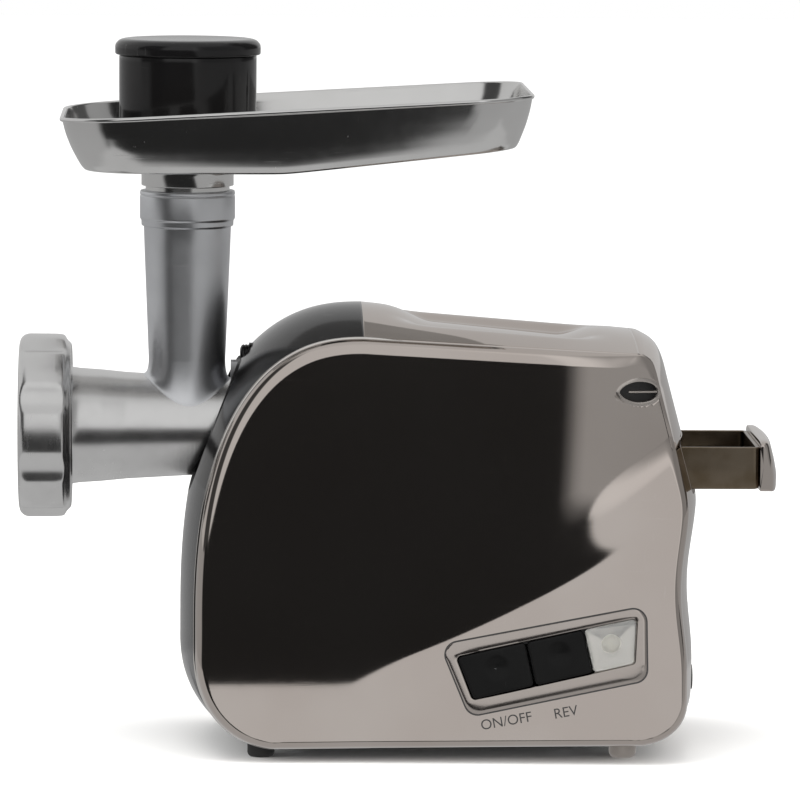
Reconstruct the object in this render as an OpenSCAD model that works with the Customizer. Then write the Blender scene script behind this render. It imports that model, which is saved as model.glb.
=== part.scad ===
/* [Body] */
// Distance from the datum plane forward to the start of the front curve
front_curve_x = 22; // [16:1:30]
// Reach of the side panels' front curve
front_reach = 91.5; // [86:0.5:96]
// Distance from the datum plane back to the rear edge of the skirt
skirt_rear_x = 156.4; // [154:0.2:162]
// Height of the side panels' top edge at the front
panel_top_z = 231.7; // [226:0.1:240]
// Drop of the top edge from front to rear
top_fall = 8.2; // [4:0.1:12]
// Height of the side panels' bottom edge
panel_bottom_z = 6; // [5:0.5:8]
// How far the front cover stands out in front of the panels
front_crown = 8.2; // [4:0.1:12]
// How far the top cover stands up above the panels
top_crown = 13.7; // [8:0.1:16]
// How far the rear cover stands out behind the panels
rear_crown = 8.5; // [5:0.1:11]
// Half the width of the covers between the trim beads
cover_half_w = 64; // [60:1:70]
// Thickness of each trim bead, measured across the body
trim_t = 2; // [1.5:0.1:3]
// Depth of each side panel from the trim to its outer face
panel_depth = 11; // [8:0.5:14]
// How far the skirt stands out from the panel's face
skirt_step = 4; // [2:0.5:6]
// Wall of the panels and covers
shell_wall = 2.6; // [2:0.1:3.5]
// Depth of the dish in the top cover
dish_depth = 7; // [3:0.5:9]

/* [Base and feet] */
// Thickness of the base plate
base_t = 3; // [2.5:0.5:5]
// Height of the base plate's underside above the floor
foot_h = 9.5; // [8:0.5:11]
// Radius of a foot
foot_r = 7.5; // [6:0.5:9]
// Distance from the datum plane forward to the front feet
front_foot_x = 77; // [70:1:80]
// Distance from the datum plane back to the rear feet
rear_foot_x = 122; // [110:1:128]
// Distance of each foot's middle from the edge of the covers
foot_inset = 10; // [9:1:19]

/* [Drive] */
// Height of the auger's axis
auger_z = 176.5; // [172:0.5:180]
// Module of the last gear pair
last_module = 1.5; // [1.5:0.25:1.5]
// Module of the middle gear pair
middle_module = 1.25; // [1.25:0.25:1.25]
// Module of the first gear pair
first_module = 1; // [1:0.25:1]
// Radius of the idler gears' pins
gear_pin_r = 4; // [3:0.5:5]
// Radial clearance of a running fit
run_gap = 0.05; // [0.02:0.01:0.1]
// Radius of the output shaft
output_r = 12; // [11:0.5:13]
// Radius over the corners of the auger's hex shank
hex_r = 8.5; // [8:0.5:9]
// Radius of the motor shaft
motor_shaft_r = 4; // [3:0.5:5]
// Radius of the armature core
armature_r = 19; // [16:1:21]
// Length of the laminated core
core_len = 40; // [30:1:44]
// Air gap between the armature and the stator
air_gap = 0.6; // [0.4:0.1:1]
// Half the width of the stator
stator_half = 38; // [34:1:38]

/* [Grinder head] */
// Distance from the datum plane forward to the barrel's mouth
mouth_x = 187.5; // [180:0.5:195]
// Wall of the barrel's mouth round the plate, out to the top of the thread
mouth_wall = 4.6; // [4:0.1:6]
// Wall of the barrel where it enters the hub
barrel_wall = 3.2; // [2.8:0.1:4.5]
// Radius of the barrel's bore
bore_r = 23.5; // [22:0.5:24]
// Distance from the datum plane forward to the feed tube's axis
tube_x = 118.3; // [112:0.1:122]
// Outer radius of the feed tube under its collar
tube_r = 24; // [22:0.5:25]
// Height of the feed tube's mouth
tube_top_z = 307.4; // [300:0.1:315]
// Wall of the feed tube
tube_wall = 2.8; // [2:0.1:4]
// Outer radius of the ring nut
nut_r = 50.8; // [46:0.1:55]
// Depth of the ring nut
nut_depth = 23.5; // [20:0.5:26]
// Radius of the perforated plate
plate_r = 30; // [28:0.5:31]
// Thickness of the perforated plate
plate_t = 5; // [4:0.5:6]
// Number of rings of holes in a plate
plate_rings = 3; // [1:1:3]
// Turn of the head from locked to free, in degrees
bayonet_turn = 38; // [30:1:42]

/* [Tray and pusher] */
// Distance from the datum plane forward to the tray's front end
tray_front_x = 186.8; // [180:0.1:195]
// Distance from the datum plane back to the tray's rear end
tray_rear_x = 69.2; // [50:0.1:80]
// Half the width of the tray
tray_half_w = 85; // [80:1:95]
// Height of the tray's underside above the tube's mouth
tray_floor_h = 13.6; // [10:0.2:18]
// Height of the rim above the tray's underside, at the front end
tray_depth = 29.2; // [25:0.2:35]
// Rise of the rim for each millimetre of length
rim_rise = 0.056; // [0.03:0.002:0.07]
// Rise of the floor for each millimetre behind the tube
floor_rise = 0.112; // [0.05:0.002:0.13]
// Thickness of the tray's sheet
tray_t = 1.2; // [0.8:0.1:2]
// Radius of the pusher's cup
pusher_r = 37.9; // [34:0.1:40]
// Radius of the pusher's lid
lid_r = 40.2; // [38.5:0.1:43]
// Height of the lid's top above the tray's underside
lid_rise = 70.3; // [64:0.1:79]
// Height of the lid
lid_h = 9; // [7:0.5:12]
// Radius of the pusher's stem
stem_r = 17; // [15:0.5:17.5]

/* [Drawer] */
// Outer width of the drawer
drawer_w = 84; // [76:1:90]
// Outer length of the drawer box
drawer_len = 130; // [110:1:140]
// Height of the drawer's walls
drawer_h = 23.5; // [20:0.5:24]
// Height of the drawer's underside
drawer_z = 146.5; // [144:0.5:148]
// Distance from the datum plane back to the drawer's front wall
drawer_end_x = 197; // [185:1:200]
// Thickness of the drawer's front
drawer_front_t = 10; // [8:0.5:14]
// Clearance between the drawer and its bay
drawer_gap = 0.5; // [0.4:0.1:1]

/* [Controls] */
// Corner radius of the bezel
bezel_round = 7; // [4:0.5:9]
// How far the bezel stands out from the skirt
bezel_proud = 1.2; // [0.8:0.1:2]
// How far the keys stand out from the skirt
key_proud = 1.6; // [1.2:0.1:2.5]
// Travel of a key
key_travel = 2.5; // [2:0.1:3]
// Clearance round a key
key_gap = 0.4; // [0.3:0.1:0.6]
// Radius of the lock button
lock_r = 6.4; // [5.6:0.1:6.8]
// Travel of the lock button
lock_travel = 4; // [3.5:0.1:4.5]

/* [Hidden] */
$fn = 64;

// The finished model stands with its origin under the middle of its length.
nut_front_x = mouth_x + nut_depth;
cap_rear_x = drawer_end_x + drawer_front_t + 2;
shift_x = (nut_front_x - cap_rear_x) / 2;

// Layers across the body, measured from the middle plane.
trim_out_y = cover_half_w + trim_t;
panel_out_y = trim_out_y + panel_depth;
skirt_out_y = panel_out_y + skirt_step;
base_top_z = foot_h + base_t;
foot_y = cover_half_w - foot_inset;

// Sizes of the head that follow from its bore and its plate.
thread_r = plate_r + mouth_wall;
barrel_r = bore_r + barrel_wall;

// Heights of the tray and the pusher's lid, stacked on the tube's mouth.
tray_floor_z = tube_top_z + tray_floor_h;
tray_rim_z = tray_floor_z + tray_depth;
lid_top_z = tray_floor_z + lid_rise;

// ---------- outlines in the XZ plane ----------

// A quarter of a superellipse about (cx, cz), from angle a0 to a1.
function quarter(cx, cz, a, b, n, a0, a1, steps = 12) = [
  for (i = [0:steps]) let (t = a0 + (a1 - a0) * i / steps)
    [cx + a * sign(cos(t)) * pow(abs(cos(t)), 2 / n), cz + b * sign(sin(t)) * pow(abs(sin(t)), 2 / n)]
];

// The waist in the rear edge, as a smooth hollow about its height.
waist_z = 95;
waist_half = 47;
waist_depth = 4;
function waist(z) = abs(z - waist_z) < waist_half ? waist_depth * (1 + cos(180 * (z - waist_z) / waist_half)) / 2 : 0;

// Front curve from the bottom to the top seam. f and t move it out at the front and at the top.
chin_x = 64;
chin_z = 60;
front_mid_z = 75;
function front_line(f, t, start = 262) = concat(
  quarter(-chin_x, chin_z, front_curve_x + front_reach - chin_x + f, chin_z - panel_bottom_z + f * 0.2, 2.2, start, 180),
  quarter(-front_curve_x, front_mid_z, front_reach + f, panel_top_z - front_mid_z + t, 2.4, 180, 90, 18)
);

// Top edge from the seam to the rear corner.
rear_corner = 9;
rear_top_x = skirt_rear_x - 19.4;
rear_top_z = panel_top_z - top_fall;
function top_line(t, r) = [
  for (i = [0:8]) let (x = -front_curve_x + (rear_top_x - rear_corner + front_curve_x) * i / 8)
    [x, panel_top_z - top_fall * i / 8 + t - (t - t * 0.5) * i / 8]
];

// Rear edge from the top corner to the bottom corner.
rear_mid_z = 142;
foot_corner_x = 28;
foot_corner_z = 24;
foot_corner_mid_z = panel_bottom_z + foot_corner_z + 3;
function rear_line(t, r, end = -88) = concat(
  quarter(rear_top_x - rear_corner, rear_top_z - rear_corner, rear_corner + r, rear_corner + t * 0.5, 2, 90, 12, 6),
  [for (i = [1:5]) let (z = rear_top_z - rear_corner - (rear_top_z - rear_corner - rear_mid_z) * i / 5)
    [rear_top_x + (skirt_rear_x - rear_top_x) * i / 5 + r, z]],
  [for (i = [1:8]) let (z = rear_mid_z - (rear_mid_z - foot_corner_mid_z) * i / 8)
    [skirt_rear_x - waist(z) + r * (1 - i / 32), z]],
  rest(quarter(skirt_rear_x - foot_corner_x, foot_corner_mid_z, foot_corner_x + r * 0.75, foot_corner_z, 2, 0, end, 7))
);

// A list without its first point, for joining on to a line that ends there.
function rest(p) = [for (i = [1:len(p) - 1]) p[i]];

// The whole outline of a side panel, moved out by d.
function panel_outline(d) = concat(front_line(d, d), rest(top_line(d, d)), rest(rear_line(d, d)));

// Unit vector along v.
function unit(v) = v / norm(v);

// One corner b between neighbours a and c, rounded to radius r.
function corner(a, b, c, r, n) = let (
  u = unit(a - b),
  v = unit(c - b),
  half = acos(u * v) / 2,
  m = b + unit(u + v) * r / sin(half),
  s = b + u * r / tan(half) - m,
  e = b + v * r / tan(half) - m,
  a0 = atan2(s[1], s[0]),
  turn = atan2(e[1], e[0]) - a0,
  sweep = turn > 180 ? turn - 360 : turn < -180 ? turn + 360 : turn
) [for (i = [0:n]) m + r * [cos(a0 + sweep * i / n), sin(a0 + sweep * i / n)]];

// A closed outline with every corner rounded to radius r.
function rounded(p, r, n = 5) = [
  for (i = [0:len(p) - 1]) each corner(p[(i + len(p) - 1) % len(p)], p[i], p[(i + 1) % len(p)], r, n)
];

// Crease above the skirt: height at distance x behind the datum plane.
crease_x = skirt_rear_x - 183.4;
crease_z = 50;
function crease(x) = crease_z + 0.3 * (x - crease_x) + 0.001 * pow(x - crease_x, 2);

// Region of the skirt, moved in by d.
function skirt_region(d) = concat(
  [[skirt_rear_x + 20, -10], [crease_x - 34 + d, -10]],
  [for (i = [0:8]) let (x = crease_x + d + (skirt_rear_x + 20 - crease_x) * i / 8) [x, crease(x) - d]]
);

// Control panel: four corners of the bezel and of its window, from the rear edge of the skirt, as [x, z].
bezel_corners = from_rear([[-134.4, 63], [-133.9, 27], [-23.9, 46], [-25.4, 86.5]]);
window_corners = from_rear([[-128.2, 58.4], [-118.8, 35.2], [-30.7, 53.1], [-29.5, 76.8]]);
function from_rear(points) = [for (p = points) [skirt_rear_x + p[0], p[1]]];
key_shares = [[0.36, 0.36], [0.69, 0.72]];

// A point between the window's front and rear ends, on its top edge or bottom edge.
function on_top(s) = window_corners[0] + s * (window_corners[3] - window_corners[0]);
function on_bottom(s) = window_corners[1] + s * (window_corners[2] - window_corners[1]);

// Outline of the field between shares a and b of the window, drawn in by d.
function field(a, b, d) = [
  on_top(a[0]) + [d, -d], on_bottom(a[1]) + [d, d], on_bottom(b[1]) + [-d, d], on_top(b[0]) + [-d, -d]
];
on_off_field = field([0, 0], key_shares[0], key_gap);
reverse_field = field(key_shares[0], key_shares[1], key_gap);
lens_field = field(key_shares[1], [1, 1], key_gap);
function middle(p) = (p[0] + p[1] + p[2] + p[3]) / 4;

// ---------- shared shapes ----------

// Moves the model so that its origin is under the middle of its length.
module place() {
  translate([shift_x, 0, 0]) children();
}

// Upright slab of an XZ outline between y0 and y1.
module slab(points, y0, y1) {
  translate([0, y1, 0]) rotate([90, 0, 0]) linear_extrude(y1 - y0) polygon(points);
}

// Cylinder along +X from x0 to x1 about (y, z).
module rod(x0, x1, r, y = 0, z = auger_z) {
  translate([x0, y, z]) rotate([0, 90, 0]) cylinder(h = x1 - x0, r = r);
}

// Tube along +X.
module ring(x0, x1, r, hole, y = 0, z = auger_z) {
  difference() {
    rod(x0, x1, r, y, z);
    rod(x0 - 1, x1 + 1, hole, y, z);
  }
}

// Block from its low corner to its high corner.
module block(low, high) {
  translate(low) cube(high - low);
}

// Turned body about the auger's axis, from [x, r] points.
module turned(points) {
  translate([0, 0, auger_z]) rotate([0, 90, 0]) rotate_extrude() polygon([for (p = points) [p[1], p[0]]]);
}

// Closed solid through a list of rings. Each ring runs down one side and back up the mirrored side, and
// its ends are closed by strips across, so a floor may bend along its length.
module lofted(rings) {
  n = len(rings[0]);
  m = len(rings);
  sides = [for (j = [0:m - 2]) for (i = [0:n - 1]) let (k = (i + 1) % n)
    each [[j * n + i, (j + 1) * n + i, (j + 1) * n + k], [j * n + i, (j + 1) * n + k, j * n + k]]];
  strips = [for (i = [0:n / 2 - 2]) each [[i, i + 1, n - 2 - i], [i, n - 2 - i, n - 1 - i]]];
  top = [for (f = strips) [f[0], f[2], f[1]] + (m - 1) * n * [1, 1, 1]];
  polyhedron([for (r = rings) each r], concat(sides, strips, top));
}

// Dish pressed into the top cover: its depth at a place.
dish_x = 52;
dish_half_len = 70;
dish_half_w = 50;
function bump(u) = abs(u) < 1 ? pow(1 - u * u, 2) : 0;
function dish(x, y, z) = z > rear_top_z - 4 ? dish_depth * min(1, 1.7 * bump((x - dish_x) / dish_half_len))
  * min(1, 1.7 * bump(y / dish_half_w)) : 0;

// Crowned strip of shell between the two trim beads. line(k, w) gives its outline for a share k of
// the crown and an inset w.
module strip(line, rows = 14) {
  n = len(line(0, 0));
  outer = [for (j = [0:rows]) let (t = -1 + 2 * j / rows) for (p = line(1 - t * t, 0))
    [p[0], t * cover_half_w, p[1] - dish(p[0], t * cover_half_w, p[1])]];
  inner = [for (j = [0:rows]) let (t = -1 + 2 * j / rows) for (p = line(1 - t * t, shell_wall))
    [p[0], t * cover_half_w, p[1] - dish(p[0], t * cover_half_w, p[1] + shell_wall)]];
  o = n * (rows + 1);
  skin = [for (j = [0:rows - 1]) for (i = [0:n - 2]) let (a = j * n + i, b = a + 1, c = a + n + 1, d = a + n)
    each [[a, d, c], [a, c, b]]];
  lining = [for (f = skin) [f[0] + o, f[2] + o, f[1] + o]];
  sides = [for (i = [0:n - 2]) each [[i, i + 1, i + 1 + o], [i, i + 1 + o, i + o]]];
  far = [for (i = [0:n - 2]) let (a = rows * n + i) each [[a, a + 1 + o, a + 1], [a, a + o, a + 1 + o]]];
  first = [for (j = [0:rows - 1]) let (a = j * n, b = a + n) each [[a, a + o, b + o], [a, b + o, b]]];
  last = [for (j = [0:rows - 1]) let (a = j * n + n - 1, b = a + n) each [[a, b + o, a + o], [a, b, b + o]]];
  polyhedron(concat(outer, inner), concat(skin, lining, sides, far, first, last));
}

// Point list of an involute flank at radius r beyond the base circle of radius rb, in degrees.
function inv(rb, r) = let (k = sqrt(pow(r / rb, 2) - 1)) k * 180 / PI - atan(k);

// Outline of a spur gear with n teeth of module m, a tooth centred on angle `at`.
pressure = 25;
backlash = 0.12;
function gear_points(m, n, at) = let (
  rp = m * n / 2,
  rb = rp * cos(pressure),
  tip = rp + m * 0.9,
  root = rp - m * 1.2,
  low = max(rb, root),
  half = 90 / n - backlash / rp * 90 / PI
) [
  for (i = [0:n - 1]) let (c = at + 360 * i / n)
    each concat(
      [let (g = half + inv(rb, rp) - inv(rb, low)) root * [cos(c - g), sin(c - g)]],
      [for (k = [0:4]) let (r = low + (tip - low) * k / 4, g = half + inv(rb, rp) - inv(rb, r)) r * [cos(c - g), sin(c - g)]],
      [for (k = [4:-1:0]) let (r = low + (tip - low) * k / 4, g = half + inv(rb, rp) - inv(rb, r)) r * [cos(c + g), sin(c + g)]],
      [let (g = half + inv(rb, rp) - inv(rb, low)) root * [cos(c + g), sin(c + g)]]
    )
];

// Gear along X from x0 to x1 about (y, z). Angles count from +Y towards +Z.
module gear(x0, x1, m, n, at, centre) {
  translate([x0, centre[0], centre[1]]) rotate([90, 0, 90]) linear_extrude(x1 - x0) polygon(gear_points(m, n, at));
}

// ---------- gear train ----------

output_teeth = 60;
second_pinion_teeth = 15;
second_teeth = 54;
first_pinion_teeth = 12;
first_teeth = 60;
motor_teeth = 12;
output_c = [0, auger_z];
last_distance = last_module * (output_teeth + second_pinion_teeth) / 2;
middle_distance = middle_module * (second_teeth + first_pinion_teeth) / 2;
first_distance = first_module * (first_teeth + motor_teeth) / 2;
second_y = 25;
first_y = -6;
second_c = [second_y, auger_z - sqrt(pow(last_distance, 2) - pow(second_y, 2))];
first_c = [first_y, second_c[1] - sqrt(pow(middle_distance, 2) - pow(second_y - first_y, 2))];
motor_c = [0, first_c[1] - sqrt(pow(first_distance, 2) - pow(first_y, 2))];

// Angle of the line from centre a to centre b.
function toward(a, b) = atan2(b[1] - a[1], b[0] - a[0]);
// Angle of a tooth that lets a gear of n teeth mesh with a tooth pointing at it from direction a.
function meshed(a, n) = a + 180 + 180 / n;

// Places along X of the gearbox, from front to rear.
front_plate_x = -74;
plate_thick = 4;
last_gears_x = [-63, -48];
middle_gears_x = [-46, -37];
first_gears_x = [-35, -28];
rear_plate_x = -24;

// Places along X of the motor.
core_x = 8;
front_bracket_x = -12;
bracket_t = 6;
rear_bracket_x = core_x + core_len + 28;
fan_x = rear_bracket_x + bracket_t + 6;
bearing_r = 11;
rear_bearing_r = 9.5;
bolt_at = stator_half - 7;
bolt_r = 2;

// Places along X of the hub.
hub_front_x = -94;
lug_x = [-88, -82];
lug_r = barrel_r + 5.7;
lug_half_angle = 16;
hub_cavity_gap = 0.6;
hub_r = lug_r + 4.6;
pin_r = 2.4;
pin_ring_r = barrel_r + 3.3;
spring_r = 2.6;

// ---------- body ----------

// One side panel on the side s of the middle plane, 1 for left and -1 for right.
module side_shell(s) {
  mirror([0, s > 0 ? 0 : 1, 0]) difference() {
    union() {
      slab(panel_outline(0), -panel_out_y, -trim_out_y);
      intersection() {
        slab(panel_outline(0), -skirt_out_y, -panel_out_y);
        slab(skirt_region(0), -skirt_out_y - 1, -panel_out_y + 1);
      }
    }
    slab(panel_outline(-shell_wall), -panel_out_y + shell_wall, -trim_out_y + 1);
    intersection() {
      slab(panel_outline(-shell_wall), -skirt_out_y + shell_wall, -trim_out_y + 1);
      slab(skirt_region(shell_wall), -skirt_out_y + shell_wall, -trim_out_y + 1);
    }
    slab(vent_outline(0), -panel_out_y - 1, -trim_out_y + 1);
  }
}

module left_side_panel() {
  color("silver") place() difference() {
    side_shell(1);
    slab(rounded(bezel_corners, bezel_round), -skirt_out_y - 1, -trim_out_y + 1);
  }
}

module right_side_panel() {
  color("silver") place() side_shell(-1);
}

// Bead that runs round a side panel, on the side s.
module bead(s) {
  mirror([0, s > 0 ? 0 : 1, 0]) difference() {
    slab(panel_outline(0.8), -trim_out_y, -cover_half_w);
    slab(panel_outline(-shell_wall - 1.4), -trim_out_y - 1, -cover_half_w + 1);
  }
}

module left_trim() {
  color("white") place() bead(1);
}

module right_trim() {
  color("white") place() bead(-1);
}

// Front cover, with the opening for the hub and the lock button's notch.
module front_cover() {
  color([0.05, 0.05, 0.06]) place() difference() {
    strip(function(k, w) front_line(k * front_crown - w, k * top_crown - w, 245));
    rod(-140, -60, hub_r);
    translate([-140, 0, lock_z]) rotate([0, 90, 0]) cylinder(h = 80, r = lock_r + 0.6);
    block([-140, -lock_r - 0.6, auger_z], [-60, lock_r + 0.6, lock_z]);
  }
}

module top_cover() {
  color("silver") place() strip(function(k, w) top_line(k * top_crown - w, 0));
}

// Rear cover, with the drawer's opening and the cord inlet's hole.
module rear_cover() {
  color("silver") place() difference() {
    strip(function(k, w) rear_line(k * top_crown - w, k * rear_crown - w, -62));
    block([bay_rear_x - 52, -bay_half_w, bay_low_z], [bay_rear_x + 38, bay_half_w, bay_high_z]);
    rod(inlet_wall_x - 22, inlet_wall_x + 18, inlet_r, 0, inlet_z);
  }
}

base_front_x = 29 - front_curve_x - front_reach;
base_rear_x = skirt_rear_x - 16;
module base_plate() {
  color([0.1, 0.1, 0.1]) place() difference() {
    slab(rounded([[base_front_x, foot_h], [base_rear_x, foot_h], [base_rear_x, base_top_z],
      [base_front_x, base_top_z]], 1), -cover_half_w, cover_half_w);
    for (x = screw_x) for (y = [-1, 1]) translate([x, y * screw_y, 0]) cylinder(h = 40, r = screw_r);
    for (i = [0:6]) block([40 + i * 8, -25, 0], [43 + i * 8, 25, 40]);
  }
}

screw_x = [-60, 90];
screw_y = 40;
screw_r = 1.6;
module base_screws() {
  color("gray") place() for (x = screw_x) for (y = [-1, 1]) translate([x, y * screw_y, foot_h - 2]) {
    cylinder(h = 2, r = 3.2);
    cylinder(h = 2 + base_t, r = screw_r);
  }
}

// Almond outline of a side vent, grown by d: pointed at the front and round at the rear.
vent_x = skirt_rear_x - 29.4;
vent_z = panel_top_z - 30.2;
function vent_outline(d) = concat(
  [[vent_x - 11 - d, vent_z]],
  [for (a = [-100:20:100]) [vent_x + 5 + (6 + d) * cos(a), vent_z + (5.6 + d) * sin(a)]]
);

// Vent insert with one blade across, on the side s.
module vent(s) {
  mirror([0, s > 0 ? 0 : 1, 0]) {
    difference() {
      slab(vent_outline(-0.05), -panel_out_y - 0.6, -panel_out_y + shell_wall + 1);
      slab(vent_outline(-1.4), -panel_out_y - 2, -panel_out_y + shell_wall);
    }
    intersection() {
      slab(vent_outline(-1.4), -panel_out_y - 0.4, -panel_out_y + shell_wall);
      block([vent_x - 20, -100, vent_z - 0.8], [vent_x + 20, 0, vent_z + 0.8]);
    }
  }
}

module left_vent() {
  color("gray") place() vent(1);
}

module right_vent() {
  color("gray") place() vent(-1);
}

// Pair of feet with rounded lower edges.
module foot_pair(x) {
  for (y = [-1, 1]) translate([x, y * foot_y, 0]) rotate_extrude() polygon(concat(
    [[0, 0], [foot_r - 2, 0]], [for (a = [-60:30:0]) [foot_r - 2 + 2 * cos(a), 2 + 2 * sin(a)]],
    [[foot_r, foot_h], [0, foot_h]]));
}

module front_feet() {
  color([0.08, 0.08, 0.08]) place() foot_pair(-front_foot_x);
}

module rear_feet() {
  color("gray") place() foot_pair(rear_foot_x);
}

inlet_r = 7;
inlet_z = 36;
inlet_wall_x = skirt_rear_x + rear_crown * 0.75;
module cord_inlet() {
  color([0.08, 0.08, 0.08]) place() {
    ring(inlet_wall_x - shell_wall - 6, inlet_wall_x + 1.5, inlet_r - 0.1, 3.6, 0, inlet_z);
    ring(inlet_wall_x - shell_wall - 6, inlet_wall_x - shell_wall - 3, inlet_r + 2.5, 3.6, 0, inlet_z);
  }
}

// ---------- controls ----------

key_out_y = skirt_out_y + key_proud;
module control_bezel() {
  color([0.62, 0.56, 0.52]) place() difference() {
    slab(rounded(bezel_corners, bezel_round), -skirt_out_y - bezel_proud, -skirt_out_y + 5);
    slab(rounded(window_corners, 2), -skirt_out_y - 3, -skirt_out_y + 6);
  }
}

// Key cap with a finger dimple, in a field of the window.
module key(field_points) {
  difference() {
    slab(rounded(field_points, 1.6), -key_out_y, -skirt_out_y + 9);
    translate([middle(field_points)[0], -key_out_y - 8.6, middle(field_points)[1] + 1]) sphere(r = 10);
    slab(rounded([for (p = field_points) middle(field_points) + 0.8 * (p - middle(field_points))], 1.6),
      -key_out_y + 3, -skirt_out_y + 10);
  }
}

module on_off_key() {
  color([0.04, 0.04, 0.04]) place() key(on_off_field);
}

module reverse_key() {
  color([0.04, 0.04, 0.04]) place() key(reverse_field);
}

module clear_lens() {
  color([0.85, 0.85, 0.82]) place() slab(rounded(field(key_shares[1], [1, 1], 0.3), 1.6),
    -skirt_out_y - 0.4, -skirt_out_y + 2);
}

module indicator_lamp() {
  lamp = middle(lens_field);
  color([0.9, 0.9, 0.8]) place() translate([lamp[0], -skirt_out_y + 2, lamp[1]]) rotate([-90, 0, 0]) {
    cylinder(h = housing_y - 0.2, r = 4);
    cylinder(h = 1, r = 5);
  }
}

housing_y = 10.2;
housing_depth = 14;
module switch_housing() {
  color([0.15, 0.15, 0.15]) place() difference() {
    slab(rounded(bezel_corners, 3), -skirt_out_y + 5, -skirt_out_y + housing_y + housing_depth);
    slab(rounded(window_corners, 1), -skirt_out_y + 4, -skirt_out_y + housing_y + housing_depth - 3);
    for (p = [middle(on_off_field), middle(reverse_field)])
      translate([p[0], -skirt_out_y, p[1]]) rotate([-90, 0, 0]) cylinder(h = 40, r = spring_r + key_gap);
  }
}

// Spring behind a key, as a plain sleeve of its outer size. Its end rides in a pocket in the housing.
module key_spring(p) {
  translate([p[0], -key_out_y + 3, p[1]]) rotate([-90, 0, 0]) difference() {
    cylinder(h = key_out_y - 3 - skirt_out_y + housing_y + housing_depth - 2.8, r = spring_r);
    translate([0, 0, -1]) cylinder(h = 40, r = spring_r - 0.8);
  }
}

module on_off_spring() {
  color("gray") place() key_spring(middle(on_off_field));
}

module reverse_spring() {
  color("gray") place() key_spring(middle(reverse_field));
}

// ---------- hub, lock and head ----------

// Wedge sector about the auger's axis, centred on angle `at` from +Z, along X.
module sector(x0, x1, r, at, half) {
  translate([x0, 0, auger_z]) rotate([at, 0, 0]) rotate([90, 0, 90]) linear_extrude(x1 - x0)
    polygon([[0, 0], [-r * 1.5 * sin(half), r * 1.5 * cos(half)], [r * 1.5 * sin(half), r * 1.5 * cos(half)]]);
}

// Hub ring with a round bore, three bayonet gaps and a chamber for the lugs.
module hub() {
  color([0.5, 0.5, 0.5]) place() difference() {
    union() {
      rod(hub_front_x, front_plate_x, hub_r - 0.3);
    }
    rod(hub_front_x - 1, lug_x[0] + 1, barrel_r + run_gap + 0.05);
    rod(lug_x[0] - hub_cavity_gap, front_plate_x - 1, lug_r + hub_cavity_gap);
    for (a = [0:120:359]) intersection() {
      rod(hub_front_x, lug_x[0], lug_r + hub_cavity_gap);
      sector(hub_front_x, lug_x[0], lug_r, a - bayonet_turn, lug_half_angle + 2);
    }
    rod(front_plate_x - 2, front_plate_x + 1, output_r + 1);
    block([lug_x[0] - hub_cavity_gap, -lock_r - 0.4, auger_z + 5], [front_plate_x + 1, lock_r + 0.4, auger_z + 60]);
    rod(hub_front_x - 1, front_plate_x + 1, lock_r + key_gap, 0, lock_z);
  }
}

lock_z = auger_z + lug_r + lock_r + 0.5;
lock_front_x = -89;
lock_knob = 8;
lock_stem_r = 3;
foot_x = lug_x[1] + 2;
module lock_button() {
  color([0.05, 0.05, 0.05]) place() {
    rod(lock_front_x, lock_front_x + lock_knob, lock_r - 0.4, 0, lock_z);
    rod(lock_front_x + lock_knob, foot_x, lock_stem_r, 0, lock_z);
    block([foot_x - 0.01, -lock_stem_r, auger_z + pin_ring_r - 2], [foot_x + 2, lock_stem_r, lock_z + lock_stem_r]);
    rod(foot_x - 5, foot_x, pin_r, 0, auger_z + pin_ring_r);
  }
}

module lock_spring() {
  color("gray") place() difference() {
    rod(foot_x + 2, front_plate_x, spring_r, 0, auger_z + pin_ring_r);
    rod(foot_x, front_plate_x + 1, spring_r - 0.8, 0, auger_z + pin_ring_r);
  }
}

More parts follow.
